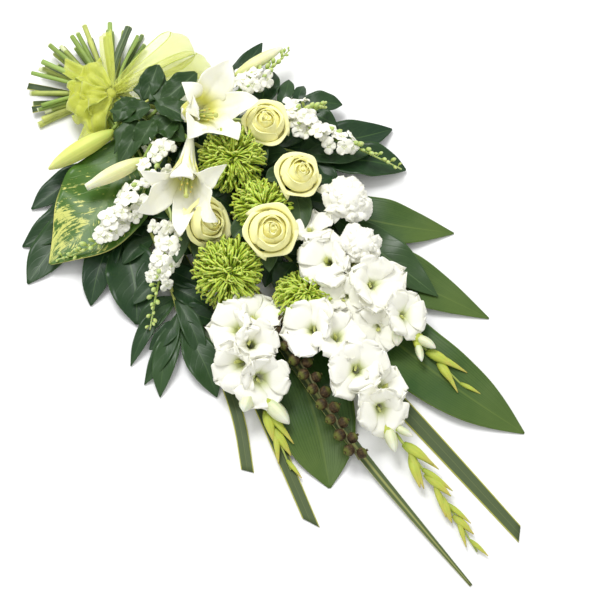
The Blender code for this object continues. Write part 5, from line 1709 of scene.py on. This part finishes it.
def broad_leaf(name, stalk, base, tip, width, arch):
    """A long broad leaf on its stalk, bowed to one side, with a folded rib and slowly waved edges."""
    wave = 4.0 if name == "variegated_leaf" else 2.2
    base, tip = vec(base), vec(tip)
    t = np.linspace(0.0, 1.0, 64)
    spine = arched(base, tip, t, UP * arch + unit(np.cross(tip - base, UP)) * LEAF_BOWS.get(name, 0.0))
    outline = {"leaf_below": FULL, "leaf_right_lower": BROAD}.get(name, LONG)
    widths = np.maximum(smooth_outline(outline, t) * width, 2.0)

    def section(s, at):
        swell = wave * s * math.sin(6 * math.pi * at) * math.sin(math.pi * at) / (width / 2)
        return 0.06 * s * s + 0.08 * (np.abs(s) - 0.5) + swell

    blade = sheet(above_table(blade_grid(spine, widths, 19, section), LEAF_REST))
    if name == "variegated_leaf":
        material, slot = finish(variegated_material, (0.035, 0.11, 0.012)), "variegated_leaf"
    elif name == "leaf_right_dark":
        given = ("Dark leaf", (0.02, 0.055, 0.012), (0.12, 0.2, 0.07), 9.0, 0.3, 0.28, 0.25)
        material, slot = finish(leaf_material, *given), "dark_leaf"
    else:
        pale = (0.11, 0.17, 0.03)
        given = ("Broad leaf", colours().leaf_green, pale, 26.0, pale, 0.03, 0.36)
        material, slot = finish(parallel_leaf_material, *given), "broad_leaf"
    finish_piece(joined(name + "_blade", [blade], sizes().leaf_thickness), material, slot, name)
    footed = joined(name + "_stalk", rods=[stem(name, stalk)])
    finish_piece(footed, finish(stem_material, colours().stem_green), "green_stem")


def strap(name, line, widths, fold, slant):
    """A flax strap from its cut end, through the tie, to its tip."""
    behind = behind_tie(name)
    ahead = route([behind[-1], *(vec(p) for p in line)], 9)[1:]
    breadth = [*STRAP_BEHIND_TIE, *profile(widths, np.linspace(0, 1, len(ahead)))]
    way = widening(zip([*behind, *ahead], breadth), 90, 2)
    grid = blade_grid(way[:, :3], way[:, 3], 9, lambda s, t: fold * np.abs(s) - 0.04 * s * s)
    near_tip = np.clip(np.linspace(-3.0, 1.0, len(way)), 0, 1)
    grid += np.outer(near_tip, np.linspace(-0.5, 0.5, 9) * slant)[..., None] * unit(way[-1, :3] - way[-4, :3])
    green = (0.045, 0.075, 0.03)
    if name == "strap_middle":
        given = ("Folded strap", green, (0.12, 0.16, 0.05), 8.0, (0.5, 0.5, 0.16), 0.01, 0.45, 0.4)
    else:
        given = ("Flax strap", green, (0.1, 0.135, 0.05), 14.0, (0.5, 0.5, 0.1), 0.16, 0.45)
    made = joined(name + "_blade", [sheet(above_table(grid, STRAP_REST))], STRAP_THICKNESS)
    finish_piece(made, finish(parallel_leaf_material, *given), "flax_strap", name)


def seed_pods():
    """Round pods in two ranks along a bent stalk, each with a small crown."""
    line = route([vec(p) for p in POD_STALK], 40)
    ways = directions(line)
    pods = []
    draw = random.Random(5)
    t = np.linspace(-1.0, 1.0, 11)
    for k in range(POD_COUNT):
        i = int(lerp(2, 38, k / (POD_COUNT - 1)))
        side = unit(np.cross(ways[i], UP)) * (1 if k % 2 else -1)
        out = unit(side + UP * 0.5 + ways[i] * 0.15)
        radius = POD_RADIUS * draw.uniform(0.94, 1.08)
        middle = line[i] + out * 7
        body = radius * np.sqrt(np.clip(1 - t**2, 0.03, 1)) * (1 + 0.05 * np.sin(t * 9))
        pods.append(rod(middle + np.outer(t * radius * 0.95, out), body, 14, draw.uniform(0, 1)))
        crown = middle + np.outer((0.85, 1.05, 1.2), out * radius)
        pods.append(rod(crown, (2.0, 1.5, 1.9), 8, 1.0))
    finish_piece(joined("seed_pods", rods=pods), finish(pod_material), "seed_pod", "seed_pod_spike")
    foot = [*behind_tie("seed_pod_spike"), vec((-44, 70, 20)), vec((-46, 20, 32)), *line[2:]]
    made = joined("seed_pod_stalk", rods=[rod(route(foot, 80), np.linspace(2.8, 2.0, 80), 9, 0.1)])
    brown = finish(bud_material, "Pod stalk", (0.1, 0.12, 0.04), (0.14, 0.1, 0.05), (0.2, 0.2, 0.08))
    finish_piece(made, brown, "seed_pod")


def bundle_outline(gap):
    """Points round the whole bundle at the tie, so far out from its outer stems."""
    centres = [(x, z) for x, z, _, _ in PLACES.values()]
    outline = []
    for k in range(36):
        angle = 2 * math.pi * k / 36
        way = (math.cos(angle), math.sin(angle))
        x, z = max(centres, key=lambda c: c[0] * way[0] + c[1] * way[1])
        outline.append((x + way[0] * (STEM_RADIUS * 1.4 + gap), z + way[1] * (STEM_RADIUS + gap)))
    return outline


def tie_band(gap, near, far):
    """The ribbon wound once round the bundle, drawn into pleats."""
    outline = bundle_outline(gap)
    outline.append(outline[0])
    grid = np.empty((len(outline), 9, 3))
    for j in range(9):
        pleat = 0.35 * (j % 2)
        y = lerp(near, far, j / 8)
        for i, (x, z) in enumerate(outline):
            grid[i, j] = (x, y, z - pleat)
    return grid


def loop_grid(knot, reach, width, draw):
    """One loop of the bow: out from the knot below and back to it above. The short loops are crumpled."""
    reach = vec(reach)
    side = unit(np.cross(reach, UP))
    start = math.asin(KNOT_RADIUS * 0.6 / np.linalg.norm(reach)) / math.pi
    s = np.linspace(-1.0, 1.0, 27)
    phase = draw.uniform(0, 6)
    lean = draw.uniform(-0.2, 0.2)
    crumpled = 0.15 if is_long(reach) else 1.0
    rows = []
    for k in range(60):
        t = lerp(start, 1 - start, k / 59)
        out = math.sin(math.pi * t)
        point = knot + reach * out - UP * 13 * math.sin(2 * math.pi * t) + UP * 5 * t
        half = width / 2 * lerp(0.22, 1.08, min(1.0, out * 1.15) ** 0.8)
        folds = 2.0 * np.sin(s * 7 + phase + t * 2) + np.sin(s * 13 + phase * 2 + t * 5)
        facets = np.abs(np.sin(s * 2.6 + t * 8 + phase)) + np.abs(np.sin(s * 2.1 - t * 11 + phase * 2))
        folds = folds * lerp(1.0, 0.3, out) + 1.1 * np.sin(t * 17 + s * 4 + phase) * out
        folds = folds + crumpled * out * 8 * (facets - 1.2)
        bulge = reach * (0.1 * (1 - s[:, None] ** 2) + 0.07 * crumpled * np.sin(s * 5 + phase)[:, None]) * out
        sway = side * crumpled * 4 * math.sin(t * 12 + phase) * out
        rows.append(point + np.outer(s * half, side) + sway + bulge + np.outer(folds + lean * s * half, UP))
    return np.array(rows)


def is_long(reach):
    """Whether a loop is one of the long smooth ones, which lie towards +X."""
    return reach[0] >= LONG_LOOP


def tail_grid(knot, reach, width, draw):
    """One tail of the bow, twisted a little, with a slanted cut end."""
    reach = vec(reach)
    t = np.linspace(0, 1, 34)
    line = route([knot, knot + reach * 0.5 + UP * 6, knot + reach], len(t))
    widths = width * np.interp(t, (0, 0.3, 0.7, 1), (0.35, 1.0, 1.1, 1.0))
    phase = draw.uniform(0, 6)

    def section(s, at):
        return 0.12 * np.sin(s * 5 + phase + at * 4) + 0.05 * np.sin(s * 11 + phase)

    slant = np.linspace(-1, 1, 13)[None, :] * t[:, None] ** 6 * width * 0.3
    return blade_grid(line, widths, 13, section) + slant[..., None] * unit(reach)


def welded(ring):
    """Closes the seam of a sheet whose two ends meet."""
    select_only([ring])
    bpy.ops.object.mode_set(mode="EDIT")
    bpy.ops.mesh.select_all(action="SELECT")
    bpy.ops.mesh.remove_doubles(threshold=1e-6)
    bpy.ops.mesh.normals_make_consistent(inside=False)
    bpy.ops.object.mode_set(mode="OBJECT")


def ribbon():
    """The sheer ribbon: wound round the stems, knotted, and tied in a bow of loops and tails."""
    knot = vec((TIE_X, TIE_Y, max(z for _, z in bundle_outline(1.5)) + 3.0))
    draw = random.Random(11)
    half_band = TIE_LENGTH * 0.36
    grids = [(tie_band(0.9, TIE_Y - half_band, TIE_Y + half_band), 1.0)]
    for reach, width in BOW_LOOPS:
        grids.append((loop_grid(knot, reach, width, draw), 0.16 if is_long(reach) else 0.9))
    grids += [(tail_grid(knot, reach, width, draw), 0.7) for reach, width in BOW_TAILS]
    turns = np.linspace(0.0, 2 * math.pi, 25)
    wraps = []
    for y, r in zip(np.linspace(-9, 9, 9), (3.0, 7.5, 9.2, 8.6, 9.4, 8.4, 9.3, 7.6, 3.0)):
        wraps.append(knot + np.stack((np.cos(turns) * r, np.full(25, y), np.sin(turns) * r * 0.72), axis=1))
    grids.append((np.stack(wraps, axis=1), 1.0))
    sheets = [sheet(grid, shade) for grid, shade in grids]
    welded(sheets[0])
    welded(sheets[-1])
    made = joined("ribbon_bow", sheets, sizes().ribbon_thickness)
    finish_piece(made, finish(organza_material, colours().ribbon_lime), "ribbon", "ribbon")


class BOUQUET_OT_lilies(bpy.types.Operator):
    """Two open lilies and three lily buds on their stalks"""

    bl_idname = "bouquet.lilies"
    bl_label = "Lilies"

    def execute(self, context):
        lilies()
        return {"FINISHED"}


class BOUQUET_OT_roses(bpy.types.Operator):
    """Four cream roses with their leaves"""

    bl_idname = "bouquet.roses"
    bl_label = "Roses"

    def execute(self, context):
        roses()
        return {"FINISHED"}


class BOUQUET_OT_chrysanthemums(bpy.types.Operator):
    """Four green spider chrysanthemums"""

    bl_idname = "bouquet.chrysanthemums"
    bl_label = "Chrysanthemums"

    def execute(self, context):
        chrysanthemums()
        return {"FINISHED"}


class BOUQUET_OT_carnations(bpy.types.Operator):
    """Two white carnations"""

    bl_idname = "bouquet.carnations"
    bl_label = "Carnations"

    def execute(self, context):
        carnations()
        return {"FINISHED"}


class BOUQUET_OT_gladioli(bpy.types.Operator):
    """Three gladioli: florets, spikes, sheaths and buds"""

    bl_idname = "bouquet.gladioli"
    bl_label = "Gladioli"

    def execute(self, context):
        gladioli()
        return {"FINISHED"}


class BOUQUET_OT_stocks(bpy.types.Operator):
    """Six sprays of small four-petalled florets with lime buds"""

    bl_idname = "bouquet.stocks"
    bl_label = "Stocks"

    def execute(self, context):
        stocks()
        return {"FINISHED"}


class BOUQUET_OT_foliage(bpy.types.Operator):
    """Leafy stems, ivy and the long broad leaves"""

    bl_idname = "bouquet.foliage"
    bl_label = "Foliage"

    def execute(self, context):
        leafy_stems()
        ivy()
        for name, given in BROAD_LEAVES.items():
            broad_leaf(name, *given)
        return {"FINISHED"}


class BOUQUET_OT_straps(bpy.types.Operator):
    """Four flax straps"""

    bl_idname = "bouquet.straps"
    bl_label = "Flax straps"

    def execute(self, context):
        for name, given in STRAPS.items():
            strap(name, *given)
        return {"FINISHED"}


class BOUQUET_OT_seed_pods(bpy.types.Operator):
    """The spike of brown seed pods"""

    bl_idname = "bouquet.seed_pods"
    bl_label = "Seed pods"

    def execute(self, context):
        seed_pods()
        return {"FINISHED"}


class BOUQUET_OT_ribbon(bpy.types.Operator):
    """The sheer ribbon and its bow"""

    bl_idname = "bouquet.ribbon"
    bl_label = "Ribbon"

    def execute(self, context):
        ribbon()
        return {"FINISHED"}


class BOUQUET_OT_stage(bpy.types.Operator):
    """The pale floor, the soft light and the camera"""

    bl_idname = "bouquet.stage"
    bl_label = "Floor, light and camera"

    def execute(self, context):
        given = context.scene.bouquet_stage
        lay_floor(given.floor_colour)
        add_light(given.key_power)
        add_surroundings(given.sky_strength)
        add_camera()
        return {"FINISHED"}


def lay_floor(colour):
    deselect_all()
    bpy.ops.mesh.primitive_plane_add(size=FLOOR_SIZE, location=(0, 0, 0))
    floor = bpy.context.object
    floor.name = "floor"
    material, tree, shader = start_material("Floor", 0.85)
    grain = node(tree, "ShaderNodeTexNoise", {"Scale": 3.0}).outputs["Fac"]
    base = mixed(tree, times(tree, grain, 0.02), colour, (0.8, 0.8, 0.8))
    tree.links.new(base, shader.inputs["Base Color"])
    floor.data.materials.append(material)


def add_light(power):
    """One large soft light beyond the cut ends, so that shadows fall short towards the tips."""
    light = bpy.data.lights.new("key", "AREA")
    light.shape = "DISK"
    light.size = KEY_SIZE
    light.energy = power
    key = bpy.data.objects.new("key", light)
    bpy.context.scene.collection.objects.link(key)
    key.location = KEY_PLACE
    key.rotation_euler = (-Vector(KEY_PLACE)).to_track_quat("-Z", "Y").to_euler()


def add_surroundings(strength):
    world = bpy.data.worlds.new("surroundings")
    world.use_nodes = True
    white = world.node_tree.nodes["Background"]
    white.inputs["Color"].default_value = (1.0, 1.0, 1.0, 1.0)
    white.inputs["Strength"].default_value = strength
    bpy.context.scene.world = world
    bpy.context.scene.view_settings.view_transform = "Standard"


def add_camera():
    away = Vector((
        math.sin(CAMERA_AZIMUTH) * math.cos(CAMERA_ELEVATION),
        -math.cos(CAMERA_AZIMUTH) * math.cos(CAMERA_ELEVATION),
        math.sin(CAMERA_ELEVATION),
    ))
    lens = bpy.data.cameras.new("camera")
    lens.sensor_width = SENSOR_WIDTH
    lens.lens = SENSOR_WIDTH * CAMERA_DISTANCE / PICTURE_WIDTH
    camera = bpy.data.objects.new("camera", lens)
    bpy.context.scene.collection.objects.link(camera)
    camera.location = away * CAMERA_DISTANCE
    camera.rotation_euler = (-away).to_track_quat("-Z", "Y").to_euler()
    bpy.context.scene.camera = camera


OPERATORS = (
    BOUQUET_OT_lilies, BOUQUET_OT_roses, BOUQUET_OT_chrysanthemums, BOUQUET_OT_carnations,
    BOUQUET_OT_gladioli, BOUQUET_OT_stocks, BOUQUET_OT_foliage, BOUQUET_OT_straps, BOUQUET_OT_seed_pods,
    BOUQUET_OT_ribbon, BOUQUET_OT_stage,
)


class BOUQUET_PT_panel(bpy.types.Panel):
    """The sizes, the colours and a button for each kind of piece"""

    bl_label = "Funeral bouquet"
    bl_idname = "BOUQUET_PT_panel"
    bl_space_type = "VIEW_3D"
    bl_region_type = "UI"
    bl_category = "Bouquet"

    def draw(self, context):
        scene = context.scene
        for group in (scene.bouquet_sizes, scene.bouquet_colours, scene.bouquet_stage):
            box = self.layout.box()
            for key in group.__annotations__:
                box.prop(group, key)
        for operator in OPERATORS:
            self.layout.operator(operator.bl_idname)


CLASSES = (BouquetSizes, BouquetColours, BouquetStage, *OPERATORS, BOUQUET_PT_panel)


def register():
    for made in CLASSES:
        bpy.utils.register_class(made)
    bpy.types.Scene.bouquet_sizes = PointerProperty(type=BouquetSizes)
    bpy.types.Scene.bouquet_colours = PointerProperty(type=BouquetColours)
    bpy.types.Scene.bouquet_stage = PointerProperty(type=BouquetStage)


def unregister():
    del bpy.types.Scene.bouquet_stage
    del bpy.types.Scene.bouquet_colours
    del bpy.types.Scene.bouquet_sizes
    for made in reversed(CLASSES):
        bpy.utils.unregister_class(made)


def main():
    register()
    bpy.ops.bouquet.lilies()
    bpy.ops.bouquet.roses()
    bpy.ops.bouquet.chrysanthemums()
    bpy.ops.bouquet.carnations()
    bpy.ops.bouquet.gladioli()
    bpy.ops.bouquet.stocks()
    bpy.ops.bouquet.foliage()
    bpy.ops.bouquet.straps()
    bpy.ops.bouquet.seed_pods()
    bpy.ops.bouquet.ribbon()
    bpy.ops.bouquet.stage()


if __name__ == "__main__":
    main()
